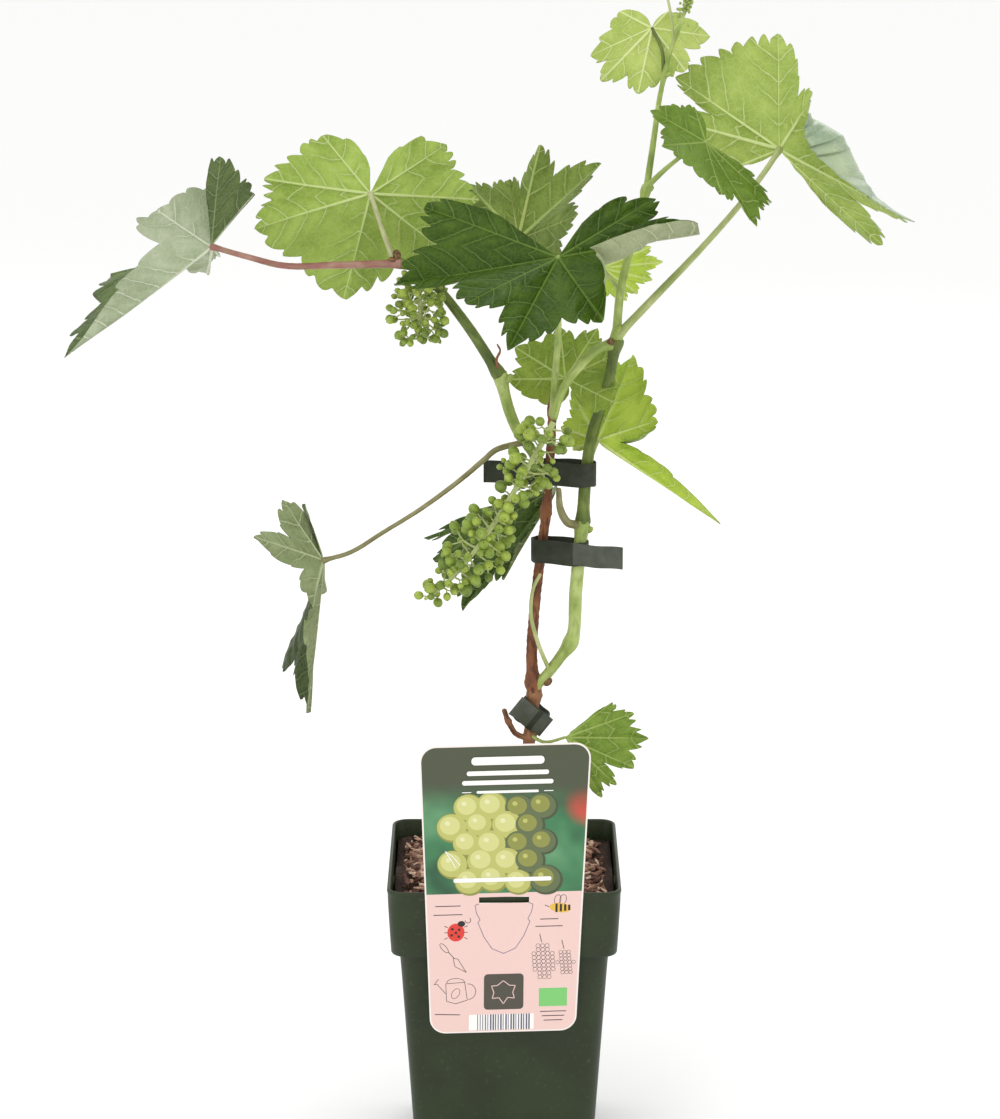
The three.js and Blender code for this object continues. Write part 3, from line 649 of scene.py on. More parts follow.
cane_bark = stem_material("last year's cane bark", ("#5d3420", "#84502f", "#a3714a"), "#45261a", 0.62, 0.75)
trunk_bark = stem_material("old cane bark", ("#54331f", "#7d5236", "#a87f58"), "#3a2317", 0.75, 0.8)
shoot_skin = stem_material("green shoot skin", ("#7b9040", "#9cae5c", "#b9c680"), "#6c7d38", 0.4, 0.4)
shoot_pale = stem_material("pale shoot skin", ("#8b9c55", "#a8b373", "#c3c894"), "#8f8a52", 0.4, 0.35)
shoot_dark = stem_material("shaded shoot skin", ("#4c5c1d", "#5f7029", "#7a8a3c"), "#3f4a1a", 0.42, 0.5)
red_stalk = stem_material("red flushed stalk", ("#7d4a40", "#96645a", "#b08d7c"), "#8e9160", 0.42, 0.35)
pale_stalk = stem_material("pale leaf stalk", ("#9da06c", "#b5b88a", "#cdcfa8"), "#8f7f5c", 0.45, 0.4)
brown_stalk = stem_material("brownish leaf stalk", ("#6f6c40", "#8a875c", "#adac80"), "#6b5436", 0.45, 0.45)
print("stem skins ready")

# %% [markdown]
# Each stem is named after the solid it stands for and follows the same places.
# The joints, where a leaf or a side shoot leaves, are swollen.

# %% Stems
# name: (skin, radii, knots, route)
STEMS = {
    "trunk": (trunk_bark, (5.2, 3.9, 3.5, 3.3, 3.1), ((0.97, 1.5, 5), (0.76, 0.6, 4)),
              [(4.5, 0, 159.2), (9.5, 0, 202), (14.5, 0, 241), (17, 0, 268)]),
    "brown_cane": (cane_bark, (3.3, 2.9, 2.7, 2.5, 2.3), ((0.03, 1.9, 5), (0.62, 0.8, 4), (0.96, 0.7, 4)),
                   [(17, 0, 267), (15.5, 0, 286), (17, 2, 314), (20, 3, 342), (23, 4, 366), (26, 5, 410),
                    (27, 5, 434)]),
    "pruned_stub": (trunk_bark, (1.7, 1.5, 1.4), ((0.72, 0.5, 2),),
                    [(14, 0, 239), (6.5, -3, 243), (2.5, -4, 250), (0, -4, 257)]),
    "green_shoot_lower": (shoot_skin, (2.8, 3.1, 3.5, 3.7, 3.6, 3.6), ((0.33, 1.2, 5), (0.98, 0.9, 5)),
                          [(17, -1, 269), (24.5, -3, 278), (31, -5, 287.5), (38, -6, 299), (40, -5, 327),
                           (43.5, -2, 366)]),
    "green_shoot_middle": (shoot_dark, (3.5, 3.2, 2.9), ((0.0, 1.0, 5), (0.985, 1.6, 5)),
                           [(43.5, -2, 365), (45, 0, 389), (48.5, 2, 414), (56.5, 2, 440), (61.5, 0, 468)]),
    "green_shoot_upper": (shoot_skin, (2.5, 2.2, 2.0), ((0.02, 1.2, 4), (0.97, 1.0, 4)),
                          [(61.5, 0, 467), (63.5, 0, 494), (67, 0, 511), (74, 0, 537), (77.5, 0, 553)]),
    "shoot_tip": (shoot_skin, (1.9, 1.6, 1.3, 1.1, 0.9), ((0.53, 0.5, 3), (0.74, 0.4, 2.5)),
                  [(77.5, 0, 552), (81, 0, 578), (84, 0, 601), (89, 0, 624), (96, -2, 645), (104, -2, 664)]),
    "left_shoot_lower": (shoot_skin, (3.0, 3.1, 3.2), ((0.97, 1.0, 6),),
                         [(24.5, 5, 380), (17, 11, 400), (7.5, 8, 415), (2.5, 5, 428), (-2.5, 0, 449)]),
    "left_shoot_upper": (shoot_dark, (3.1, 2.7, 2.1), ((0.02, 1.0, 5), (0.97, 0.8, 4)),
                         [(-2.5, 0, 448), (-20, -2, 476), (-38.5, -4, 500), (-48.5, -4, 508.5),
                          (-58, -4, 511.5)]),
    "bunch_stalk": (shoot_skin, (2.8, 2.4, 2.1), ((0.0, 1.0, 4),),
                    [(60.5, 0, 466), (51, -5, 463.5), (40.5, -11, 454.5), (33, -15, 445), (29, -19, 436),
                     (27, -23, 429)]),
    "stalk_leaf_1": (red_stalk, (2.3, 1.8, 1.5), ((0.0, 0.8, 4), (1.0, 0.5, 4)),
                     [(-56, -4, 511), (-91.5, -6, 510.5), (-119.5, -8, 510.5), (-140, -8, 515.5),
                      (-159, -8, 521)]),
    "stalk_leaf_2": (pale_stalk, (1.6, 1.3, 1.2), ((1.0, 0.5, 3),),
                     [(-60, -3, 511.5), (-66.5, 0, 529), (-73, 6, 548)]),
    "stalk_leaf_3": (shoot_pale, (1.5, 1.2), (), [(-43.5, -3, 504), (-24.5, 15, 508.5), (-2.5, 28, 514),
                                                  (8, 32, 519)]),
    "stalk_leaf_4": (shoot_skin, (2.1, 1.8, 1.5), ((0.0, 0.6, 3),),
                     [(27, 4, 425), (28, -6, 448), (29.5, -14, 475), (29, -20, 497), (29, -30, 519)]),
    "stalk_leaf_5": (shoot_pale, (1.2, 0.9), (), [(63.5, 0, 495), (59, 12, 499.5), (54, 22, 504)]),
    "stalk_leaf_6": (shoot_dark, (1.1, 0.9), (), [(86, 0, 612), (85, 4, 626), (80, 12, 637)]),
    "stalk_leaf_7": (shoot_pale, (2.4, 1.7, 1.5), ((0.0, 0.8, 5), (1.0, 0.7, 4)),
                     [(62, 0, 470), (85, -2, 495), (106.5, -2, 518), (128, 0, 542.5), (141.5, 3, 560),
                      (150, 8, 572)]),
    "stalk_leaf_8": (shoot_skin, (1.7, 1.2, 1.1), ((0.0, 0.7, 3),),
                     [(77, 0, 552), (88.5, -8, 564.5), (100, -17, 575), (108, -22, 580)]),
    "stalk_leaf_9": (shoot_pale, (1.2, 1.1), (), [(26.5, 5, 428), (31, 10, 435.5), (34, 15, 443)]),
    "stalk_leaf_10": (shoot_pale, (1.3, 1.1), (), [(45, 0, 386), (47.5, 8, 397), (52, 10, 409)]),
    "stalk_leaf_11": (shoot_dark, (1.2, 1.1), (), [(25, 5, 376), (26, 16, 376.5), (29, 28, 378)]),
    "stalk_leaf_12": (brown_stalk, (1.8, 1.4, 1.2, 1.3), ((1.0, 0.7, 3),),
                      [(10, 9, 408), (-4.5, 0, 406), (-11.5, -2, 400.5), (-24.5, -3, 389.5), (-46, -4, 373.5),
                       (-67.5, -5, 360), (-85, -5, 349), (-101, -5, 344)]),
    "stalk_leaf_13": (shoot_skin, (1.1, 0.8), (), [(15, 0, 241), (23, -18, 242.5), (34, -30, 249)]),
    "tendril_lower": (shoot_pale, (1.3, 1.1, 0.9), (),
                      [(26, -4, 279), (19.5, -9, 296), (15, -9, 313.5), (16, -8, 328), (20, -8, 337)]),
    "tendril_upper": (brown_stalk, (2.5, 2.2, 1.5), (), [(42, -3, 364), (35, -9, 367), (31, -11, 375),
                                                         (30, -10, 386)]),
    "tendril_top": (shoot_pale, (0.9, 0.7, 0.45), (), [(91, -1, 630), (90, 1, 642.5), (88, 3, 653),
                                                       (85, 6, 667), (87, 10, 676)]),
}
WOODY = (cane_bark, trunk_bark)
SLOT_OF_SKIN = {cane_bark: "bark", trunk_bark: "bark", red_stalk: "red_stalk"}

for order, (stem, (skin, radii, knots, route)) in enumerate(STEMS.items()):
    woody = skin in WOODY
    thick = radii[0] > 2.4
    points, faces, uvs = bar(
        route, radii, sides=24 if thick else 14, step=0.9 if thick else 1.2, knots=knots,
        ridge=0.05 if woody else 0.03, rough=0.16 if woody else 0.03, seed=order * 1.7,
    )
    make_piece(
        f"{stem}_skin", points, faces, [skin], node=stem, slot=SLOT_OF_SKIN.get(skin, "green_stem"),
        uvs={"AlongBar": uvs},
    )
print("stems:", len(STEMS))

# %% [markdown]
# ## Vine leaves
#
# A vine leaf has seven main ribs that fan out from the end of its stalk, about
# fifty degrees apart. Lobes end on the ribs, with shallow bays between them, and
# the margin is cut into uneven teeth that lean towards the lobe's tip. The blade
# is quilted: side veins leave each rib every nine millimetres or so, sunk in the
# upper face and standing proud below, with a fine net between them.
#
# Each leaf is two faces of one thin closed blade. Its map, in millimetres, holds
# the distance from the nearest rib and the way along it, so the veins that the
# material draws fall on the relief that the mesh carries.


# %% Leaf materials
VEIN = {"spacing": 12, "map_scale": 0.01, "lean": 0.8, "curl": 0.009, "fade_from": 0.2, "fade_to": 0.44}


def leaf_material(name, light, dark, vein, roughness, vein_share, upper, gloss=0.5):
    """A leaf face. `light` and `dark` tint the blade, and `dark` is also painted as shade in the hollows
    beside the side veins; `vein` tints its ribs; `upper` sinks the veins and deepens that painted shade.
    """
    skin = new_material(name, light, roughness, ior=1.42, Specular_IOR_Level=gloss)
    place = add_node(skin, "UVMap", {"uv_map": "VeinMap"}).outputs[0]
    parts = add_node(skin, "SeparateXYZ", None, {"Vector": place})

    def sums(operation, *values):
        return calc(skin, operation, *values)

    away = sums("DIVIDE", parts.outputs[0], VEIN["map_scale"])
    along = sums("DIVIDE", parts.outputs[1], VEIN["map_scale"])
    rib_wide = sums("MULTIPLY_ADD", along, -0.005, 0.45)
    rib = step_down(skin, sums("SUBTRACT", away, rib_wide), -0.2, 0.3)
    bend = sums("MULTIPLY", sums("MULTIPLY", away, away), VEIN["curl"])
    row = sums("SUBTRACT", along, sums("ADD", sums("MULTIPLY", away, VEIN["lean"]), bend))
    wander = sums("MULTIPLY_ADD", noise(skin, 12, 2), 6.0, -3.0)
    row = sums("DIVIDE", sums("ADD", row, wander), VEIN["spacing"])
    near = sums("ABSOLUTE", sums("SUBTRACT", sums("FRACT", sums("ADD", row, 0.5)), 0.5))
    slant = sums("DIVIDE", away, sums("MAXIMUM", along, 1.0))
    inside = step_down(skin, slant, VEIN["fade_from"], VEIN["fade_to"])
    side_vein = sums("MULTIPLY", step_down(skin, near, 0.014, 0.06), inside)
    cells = add_node(skin, "TexCoord").outputs["Object"]
    net = add_node(
        skin, "TexVoronoi", {"feature": "DISTANCE_TO_EDGE", "Scale": 1 / (3.4 * MM)}, {"Vector": cells}
    ).outputs["Distance"]
    net_vein = step_down(skin, net, 0.02, 0.13)
    body = ramp(skin, noise(skin, 22, 4), [(0.32, dark), (0.66, light)])
    # Painted shade: the blade is blended towards its dark tint in the hollows beside each side vein, more
    # strongly on the upper face.
    vein_hollow_shade = sums("MULTIPLY", step_down(skin, near, 0.05, 0.4), 0.7 if upper else 0.5)
    vein_hollow_shade = sums("MULTIPLY", vein_hollow_shade, inside)
    body = blend_colours(skin, vein_hollow_shade, body, dark)
    body = blend_colours(skin, sums("MULTIPLY", net_vein, 0.16 * vein_share), body, vein)
    body = blend_colours(skin, sums("MULTIPLY", side_vein, 0.68 * vein_share), body, vein)
    body = blend_colours(skin, sums("MULTIPLY", rib, 0.85 * vein_share), body, vein)
    raised = sums("ADD", sums("MULTIPLY", side_vein, 0.7), sums("MULTIPLY", net_vein, 0.35))
    sign = -1.0 if upper else 1.0
    relief = sums("MULTIPLY_ADD", raised, sign, sums("MULTIPLY", noise(skin, 1.1, 3), 0.35))
    return finish_material(skin, body, None, relief, 0.45)


# name: upper face (light, dark, vein), underside (light, dark, vein)
LEAF_TONES = {
    "felted": (("#62743f", "#465730", "#93a373"), ("#aeb89a", "#8b9874", "#d0d6bd")),
    "sunlit": (("#7f9a3c", "#5f7a26", "#a9bd6a"), ("#9db553", "#7e9838", "#c3d18c")),
    "dark": (("#456110", "#2c4506", "#6e8a3a"), ("#a3ab85", "#848f66", "#c6cba8")),
    "garden": (("#6c8a2e", "#54701c", "#98ae5c"), ("#b3c29c", "#93a47a", "#d2dcc0")),
    "lively": (("#6d8f35", "#4c6b1c", "#9bb263"), ("#98ad42", "#6f882a", "#bccc7c")),
    # Painted sheen: this upper face is a pale grey-green that stands in for the reflection on the leaf's
    # shiny top; its lower roughness and stronger specular are real gloss.
    "glossy_painted_sheen": (("#a5b58e", "#84997a", "#cdd6bd"), ("#a6ba5b", "#889f42", "#cfdc96")),
    "fresh": (("#84a044", "#668432", "#b4c67c"), ("#b3c468", "#95aa4a", "#d3de9e")),
    "back": (("#55702a", "#3c541b", "#8aa055"), ("#7d9140", "#5d7228", "#a5b568")),
    "backlit": (("#8fa844", "#6f8b2c", "#b3c673"), ("#c0d753", "#a6c13e", "#d3e08e")),
    "shaded": (("#4c6422", "#354a17", "#7f9450"), ("#74803f", "#57632f", "#9aa56a")),
    "ashen": (("#3e4f1e", "#283610", "#6b7d45"), ("#8f9b70", "#6d7a4c", "#b4bd96")),
}
leaf_skins = {}
for tone, (top, under) in LEAF_TONES.items():
    leaf_skins[tone] = (
        leaf_material(f"{tone} leaf upper face", *top, 0.3 if tone == "glossy_painted_sheen" else 0.45, 0.8, True,
                      gloss=0.8 if tone == "glossy_painted_sheen" else 0.28),
        leaf_material(f"{tone} leaf underside", *under, 0.62, 1.0, False, gloss=0.35),
    )
print("leaf tones:", len(leaf_skins))


# %% Shaping a blade
def between(first, second, t):
    """A rib swung from one rib towards the next, at an even angle and length."""
    la, lb = np.linalg.norm(first), np.linalg.norm(second)
    angle = math.acos(max(-1, min(1, float(first @ second) / la / lb)))
    s = max(math.sin(angle), 1e-3)
    mixed = first / la * (math.sin((1 - t) * angle) / s) + second / lb * (math.sin(t * angle) / s)
    return mixed * (la + (lb - la) * t), angle


def ease(x, low, high):
    """0 below `low`, 1 above `high`, and a smooth step between."""
    x = np.clip((x - low) / (high - low), 0, 1)
    return x * x * (3 - 2 * x)


def rolled_margin(line, up, curl, u, start):
    """Rolls a column over from `start` out, towards `up` or away from it; 1 is half a turn."""
    length = np.linalg.norm(line[-1])
    ahead = line[-1] / length
    past = np.maximum(u - start, 0)
    turn = past / (1 - start) * abs(curl) * math.pi
    radius = (1 - start) * length / (abs(curl) * math.pi)
    along = np.where(past > 0, radius * np.sin(turn) - past * length, 0)
    lift = np.where(past > 0, radius * (1 - np.cos(turn)), 0) * (1 if curl > 0 else -1)
    return line + np.outer(along, ahead) + np.outer(lift, up)


def margin_places(teeth):
    """Places from a rib (1) to the middle of a bay (0), closest at the tooth tips."""
    offsets = (0, 0.1, 0.2, 0.31, 0.42, 0.53, 0.64, 0.72, 0.79, 0.87)
    return sorted({round(1 - (i + o) / teeth, 6) for i in range(int(teeth) + 1) for o in offsets
                   if (i + o) / teeth <= 1.0001}, reverse=True)


def tooth(x, teeth, seed):
    """How far the margin reaches at a place: 1 at a tooth's tip, 0 in a notch."""
    place = 0.72 + (x + 0.035 * math.sin(11 * x + seed) * math.sin(math.pi * x) - 1) * teeth
    phase, number = place % 1.0, math.floor(place)
    low = 1 - phase / 0.72 if phase < 0.72 else (phase - 0.72) / 0.28
    rng = random.Random(seed * 131 + number)
    return 1 - low ** 1.6, rng.uniform(0.45, 1.3)


LEAF_SHAPE = {"thick": 0.34, "cup": 0.04, "rings": 38, "lobe": 1.6, "teeth": 2.75, "tooth_depth": 0.085}
# Past the outermost ribs the margin swings back to the stalk's notch and grows short.
NOTCH = {"swing": 0.9, "shrink": 3.6, "from": 0.04, "to": 0.5, "columns": 12, "depth": 0.07, "stretch": 1.6}
SEEDS_PER_LEAF = 40


def notch_column(e, close, depth, teeth, seed):
    """(place, reach, tooth depth) of a column past an outermost rib; `e` grows away from the rib."""
    height, size = tooth(1 - e * NOTCH["stretch"], teeth, seed)
    return 1 + NOTCH["swing"] * close * e, 1 - NOTCH["shrink"] * e ** 3, (1 - height) * depth * size


def blade_columns(leaf, order):
    """Yields (near rib, far rib, place between them, reach, tooth depth, bulge, panel)."""
    teeth = leaf.get("teeth", LEAF_SHAPE["teeth"])
    seed = order * SEEDS_PER_LEAF
    close = leaf.get("close", 1.0)
    for e in np.linspace(NOTCH["to"], NOTCH["from"], NOTCH["columns"]):
        yield 1, 0, *notch_column(e, close, NOTCH["depth"], teeth, seed + 30), 0, -1
    places = margin_places(teeth)
    ts = [0.5 - x / 2 for x in places] + [0.5 + x / 2 for x in reversed(places)]
    for k in range(6):
        last_t = -1
        for t in ts:
            if t - last_t < 1e-6 or (t > 0.9999 and k < 5):
                continue
            last_t = t
            x = abs(2 * t - 1)
            side = int(t > 0.5)
            sharp = leaf.get("sharp", {}).get((k, side), LEAF_SHAPE["lobe"])
            reach = 1 - leaf["dips"][k] * (1 - x) ** sharp
            height, size = tooth(x, teeth, seed + k * 2 + side)
            depth = (1 - height) * LEAF_SHAPE["tooth_depth"] * size
            yield k, k + 1, t, reach, depth, math.sin(math.pi * t), k
    close, depth = leaf.get("close_end", close), leaf.get("end_depth", NOTCH["depth"])
    for e in np.linspace(NOTCH["from"], NOTCH["to"], leaf.get("end_columns", NOTCH["columns"])):
        yield 5, 6, *notch_column(e, close, depth, teeth, seed + 31), 0, 6


def leaf_blade(leaf, order):
    """The middle surface and its two maps, as arrays [column, ring]."""
    ribs = [np.array(r, float) for r in leaf["ribs"]]
    up = sum(np.cross(a, b) for a, b in zip(ribs, ribs[1:]))
    up /= np.linalg.norm(up)
    rings = leaf.get("rings", LEAF_SHAPE["rings"])
    u = np.linspace(0, 1, rings + 1)
    surface, veins, bearings = [], [], []
    bearing = 0.0
    last = None
    for a, b, t, reach, depth, bulge, panel in blade_columns(leaf, order):
        direction, angle = between(ribs[a], ribs[b], t)
        shrink = reach * (1 - depth * ease(u, 0.6, 1))
        line = np.outer(u * shrink, direction)
        line += np.outer(LEAF_SHAPE["cup"] * bulge * u * np.linalg.norm(ribs[a]), up)
        wave = math.sin(t * 11 + order * 1.9 + panel * 2.3)
        line += np.outer(ease(u, 0.55, 1) * wave * np.linalg.norm(direction) * 0.022, up)
        curl = leaf.get("curl", [0] * 6)[panel] * math.sin(math.pi * t) ** 0.7 if 0 <= panel < 6 else 0
        if curl:
            line = rolled_margin(line, up, curl, u, leaf.get("curl_from", 0.62))
        swing_angle = angle * (min(t, 1 - t) if t <= 1 else t - 1)
        length = np.linalg.norm(direction)
        r = u * shrink * length
        surface.append(line)
        veins.append(np.stack([r * math.sin(swing_angle), r * math.cos(swing_angle)], 1))
        now = direction / length
        bearing += 0 if last is None else math.acos(max(-1, min(1, float(now @ last))))
        last = now
        bearings.append(bearing)
    return np.array(surface), np.array(veins), np.array(bearings) / bearings[-1], u, up


def leaf_relief(veins, u, size):
    """Heights of the upper face and of the underside against the middle surface."""
    away, along = veins[..., 0], veins[..., 1]
    row = (along - away * VEIN["lean"] - away ** 2 * VEIN["curl"]) / VEIN["spacing"]
    slant = away / np.maximum(along, 1.0)
    fade = ease(away, 1.0, 5.0) * (1 - 0.6 * ease(u, 0.8, 1.0))[None, :]
    fade = fade * (1 - ease(slant, VEIN["fade_from"], VEIN["fade_to"]))
    quilt = -np.cos(2 * math.pi * row) * 0.42 * fade
    narrow = np.clip(1.15 - along / (size * 1.2), 0.25, 1)
    trough = np.exp(-(away / 1.3) ** 2) * narrow * ease(along, 0, 5)
    ridge = np.exp(-(away / 0.85) ** 2) * narrow * ease(along, -2, 5)
    side_ridge = (0.5 + 0.5 * np.cos(2 * math.pi * row)) ** 6 * fade
    return quilt - 0.5 * trough, quilt - 0.3 * trough - 0.85 * ridge - 0.22 * side_ridge


def make_leaf(leaf, order):
    """One closed blade: an upper and a lower sheet with their own relief, joined round the margin."""
    surface, veins, bearings, u, up = leaf_blade(leaf, order)
    columns, rings = surface.shape[0], surface.shape[1] - 1
    size = max(np.linalg.norm(r) for r in leaf["ribs"])
    by_column = np.gradient(surface, axis=0)
    by_ring = np.gradient(surface, axis=1)
    normals = np.cross(by_ring, by_column)
    lengths = np.linalg.norm(normals, axis=2, keepdims=True)
    normals = np.where(lengths > 1e-9, normals / np.maximum(lengths, 1e-9), up)
    normals[:, 0] = normals[:, 1].mean(axis=0) / np.linalg.norm(normals[:, 1].mean(axis=0))
    for _ in range(2):
        normals[1:-1] = normals[:-2] + 2 * normals[1:-1] + normals[2:]
        normals /= np.maximum(np.linalg.norm(normals, axis=2, keepdims=True), 1e-9)
    top_height, low_height = leaf_relief(veins, u, size)
    scale = min(1, size / 70)
    half = LEAF_SHAPE["thick"] / 2
    foot = np.array(leaf["foot"], float)
    top = foot + surface + normals * (half + top_height * scale)[..., None]
    low = foot + surface + normals * (-half + low_height * scale)[..., None]

    def flatten(sheet):
        return np.vstack([sheet[0, :1], sheet[:, 1:].reshape(-1, 3)])

    count = 1 + columns * rings
    points = np.vstack([flatten(top), flatten(low)])
    at = np.zeros((columns, rings + 1), int)
    at[:, 1:] = 1 + np.arange(columns * rings).reshape(columns, rings)
    turn = (bearings - 0.5) * math.radians(330)
    disc = np.stack([np.outer(np.sin(turn), u), np.outer(np.cos(turn), u)], 2)
    vein_uv = veins * VEIN["map_scale"]
    faces, tones, vein_rows, bake_rows = [], [], [], []

    def corner(c, j, under):
        middle = 0.75 if under else 0.25
        side = -1 if under else 1
        vein_rows.append(vein_uv[c, j])
        bake_rows.append((middle + side * 0.235 * disc[c, j, 0], 0.5 + 0.47 * disc[c, j, 1]))

    for c in range(columns - 1):
        for j in range(rings):
            quad = [(c, j), (c, j + 1), (c + 1, j + 1)] + ([(c + 1, j)] if j else [])
            for under in (False, True):
                ring_order = quad if not under else quad[::-1]
                faces.append([at[q] + (count if under else 0) for q in ring_order])
                tones.append(1 if under else 0)
                for q in ring_order:
                    corner(*q, under)
    border = [(0, j) for j in range(rings + 1)] + [(c, rings) for c in range(1, columns)]
    border += [(columns - 1, j) for j in range(rings - 1, 0, -1)]
    for i, a in enumerate(border):
        b = border[(i + 1) % len(border)]
        faces.append([at[b], at[a], at[a] + count, at[b] + count])
        tones.append(0)
        for (c, j), out in ((b, 1.004), (a, 1.004), (a, 1.02), (b, 1.02)):
            vein_rows.append(vein_uv[c, j])
            bake_rows.append((0.25 + 0.235 * disc[c, j, 0] * out, 0.5 + 0.47 * disc[c, j, 1] * out))
    return make_piece(
        leaf["node"] + "_blade", points, faces, leaf_skins[leaf["tone"]], node=leaf["node"],
        slot=leaf["slot"], face_material=tones, uvs={"OFBake": bake_rows, "VeinMap": vein_rows},
    )


print("blade shaping ready")

# %% [markdown]
# The leaves, with the foot and the seven ribs of each, as the frame has them.

# %% The thirteen leaves
LEAVES = [
    {
        "node": "leaf_1_far_left", "tone": "felted", "slot": "leaf_underside", "foot": (-159, -8, 521),
        "ribs": [(2, 30, -10), (-6, 42, -22), (-60, 36, -22), (-80, -12, -60), (-28, -12, 22), (24, -2, 29),
                 (8, -32, 54)],
        "dips": [0.15, 0.35, 0.12, 0.58, 0.1, 0.1], "sharp": {(3, 0): 0.45}, "close": 0.5,
    },
    {
        "node": "leaf_2_broad_left", "tone": "sunlit", "slot": "leaf_young", "foot": (-73, 6, 548),
        "ribs": [(41, 19, 24), (59, 24, -7), (38, 24, -35), (-16, 24, -63), (-64, 6, -20), (-58, 4, 7),
                 (-26, 6, 31)],
        "dips": [0.08, 0.12, 0.12, 0.12, 0.08, 0.08], "close": 2.0,
    },
    {
        "node": "leaf_3_behind", "tone": "back", "slot": "leaf_top", "foot": (8, 32, 519),
        "ribs": [(-24, 18, -4), (-28, 13, 28), (-5, 28, 28), (12, 13, 50), (46, 18, 39), (33, 38, 7),
                 (22, 28, -18)],
        "dips": [0.2, 0.1, 0.35, 0.25, 0.3, 0.1],
    },
    {
        "node": "leaf_4_front", "tone": "dark", "slot": "leaf_top", "foot": (29, -30, 519),
        "ribs": [(-72, 10, 26), (-88, -15, -13), (-49, -45, -16), (-27, -55, -40), (23, -40, -27),
                 (76, 0, 14), (52, 5, 31)],
        "dips": [0.15, 0.2, 0.2, 0.2, 0.35, 0.2], "curl": [0, 0, 0, 0, 0.95, 0], "curl_from": 0.45,
        "close_end": 2.6, "end_columns": 30, "end_depth": 0.13,
    },
    {
        "node": "leaf_5_small", "tone": "backlit", "slot": "leaf_young", "foot": (54, 22, 504), "teeth": 1.75,
        "ribs": [(11, 3, 15), (27, 6, 11), (34, 8, 2), (28, 6, -8), (20, 4, -15), (14, 3, -19), (0, 2, -16)],
        "dips": [0.15, 0.15, 0.15, 0.15, 0.15, 0.15], "rings": 20,
    },
    {
        "node": "leaf_6_top", "tone": "fresh", "slot": "leaf_young", "foot": (80, 12, 637), "teeth": 1.75,
        "ribs": [(8, 6, 8), (32, 13, -6), (18, -7, -22), (-8, -14, -34), (-28, -12, -27), (-33, 8, -16),
                 (-17, 10, 8)],
        "dips": [0.1, 0.3, 0.2, 0.2, 0.2, 0.15], "rings": 24, "close": 1.5,
    },
    {
        "node": "leaf_7_far_right", "teeth": 3.75, "tone": "glossy_painted_sheen", "slot": "leaf_underside",
        "foot": (150, 8, 572),
        "ribs": [(-22, 12, -11), (-64, 20, 15), (-56, 24, 36), (0, 22, 60), (16, -8, 27), (72, -28, -35),
                 (58, 12, -55)],
        "dips": [0.2, 0.3, 0.04, 0.35, -0.15, 0.35], "curl": [0, 0, 0, 0.1, -0.95, 0], "curl_from": 0.4,
    },
    {
        "node": "leaf_8_folded", "tone": "garden", "slot": "leaf_top", "foot": (108, -22, 580),
        "ribs": [(-6, 4, 18), (-30, -6, 18), (-24, -26, 2), (7, -28, -24), (28, -8, -44), (36, 7, -34),
                 (22, 10, -16)],
        "dips": [0.1, 0.15, 0.15, 0.2, 0.1, 0.1], "rings": 26,
    },
    {
        "node": "leaf_9_centre", "tone": "lively", "slot": "leaf_underside", "foot": (34, 15, 443),
        "teeth": 1.75,
        "ribs": [(-3, 4, -15), (-32, 3, -1), (-28, 9, 16), (-3, 13, 26), (18, 12, 26), (28, 0, 14),
                 (26, -26, -8)],
        "dips": [0.1, 0.15, 0.15, 0.2, 0.2, 0.2], "rings": 22,
    },
    {
        "node": "leaf_10_right", "tone": "backlit", "slot": "leaf_young", "foot": (52, 10, 409),
        "ribs": [(-13, 8, -7), (-20, 15, 4), (-14, 25, 23), (21, 30, 42), (33, 0, 11), (67, -35, -39),
                 (26, 0, -11)],
        "dips": [0.1, 0.2, 0.15, 0.05, 0.7, 0.55], "curl": [0, 0, 0, -0.3, -0.6, 0],
        "sharp": {(4, 1): 0.8, (5, 0): 0.8},
    },
    {
        "node": "leaf_11_behind_bunch", "tone": "shaded", "slot": "leaf_top", "foot": (29, 28, 378),
        "ribs": [(-43, 24, -19), (-74, 17, -34), (-69, 2, -43), (-52, -13, -69), (-30, -23, -47),
                 (-14, -16, -20), (-6, -14, -10)],
        "dips": [0.2, 0.2, 0.2, 0.15, 0.1, 0.1],
    },
    {
        "node": "leaf_12_hanging", "tone": "ashen", "slot": "leaf_underside", "foot": (-101, -5, 344),
        "ribs": [(-12, 30, 25), (-2, 50, -31), (-25, 42, -74), (-9, -5, -87), (-6, -26, -20), (-36, -20, 18),
                 (-23, 10, 32)],
        "dips": [0.3, 0.3, 0.3, 0.45, 0.6, 0.5],
        "sharp": {(3, 0): 1.0, (3, 1): 1.0, (4, 0): 0.8, (4, 1): 0.8},
    },
    {
        "node": "leaf_13_low_young", "tone": "sunlit", "slot": "leaf_young", "foot": (34, -30, 249),
        "teeth": 1.75, "rings": 22,
        "ribs": [(20, -15, -30), (28, -18, -22), (38, -12, -14), (46, -5, 1), (38, 0, 14), (26, 5, 19),
                 (13, 8, 9)],
        "dips": [0.1, 0.3, 0.1, 0.08, 0.08, 0.08],
    },
]
for order, leaf in enumerate(LEAVES):
    blade = make_leaf(leaf, order)
    print(leaf["node"], len(blade.data.polygons), "faces")

# %% [markdown]
# ## Berries
#
# A young bunch is a stalk with short side branches, each of which ends in a
# star of thin pale pedicels with one hard green berry apiece. A brown speck on
# the far end of a berry is what is left of the flower. Side branches leave the
# stalk at the golden angle, and the bunch's outline sets how far they reach.

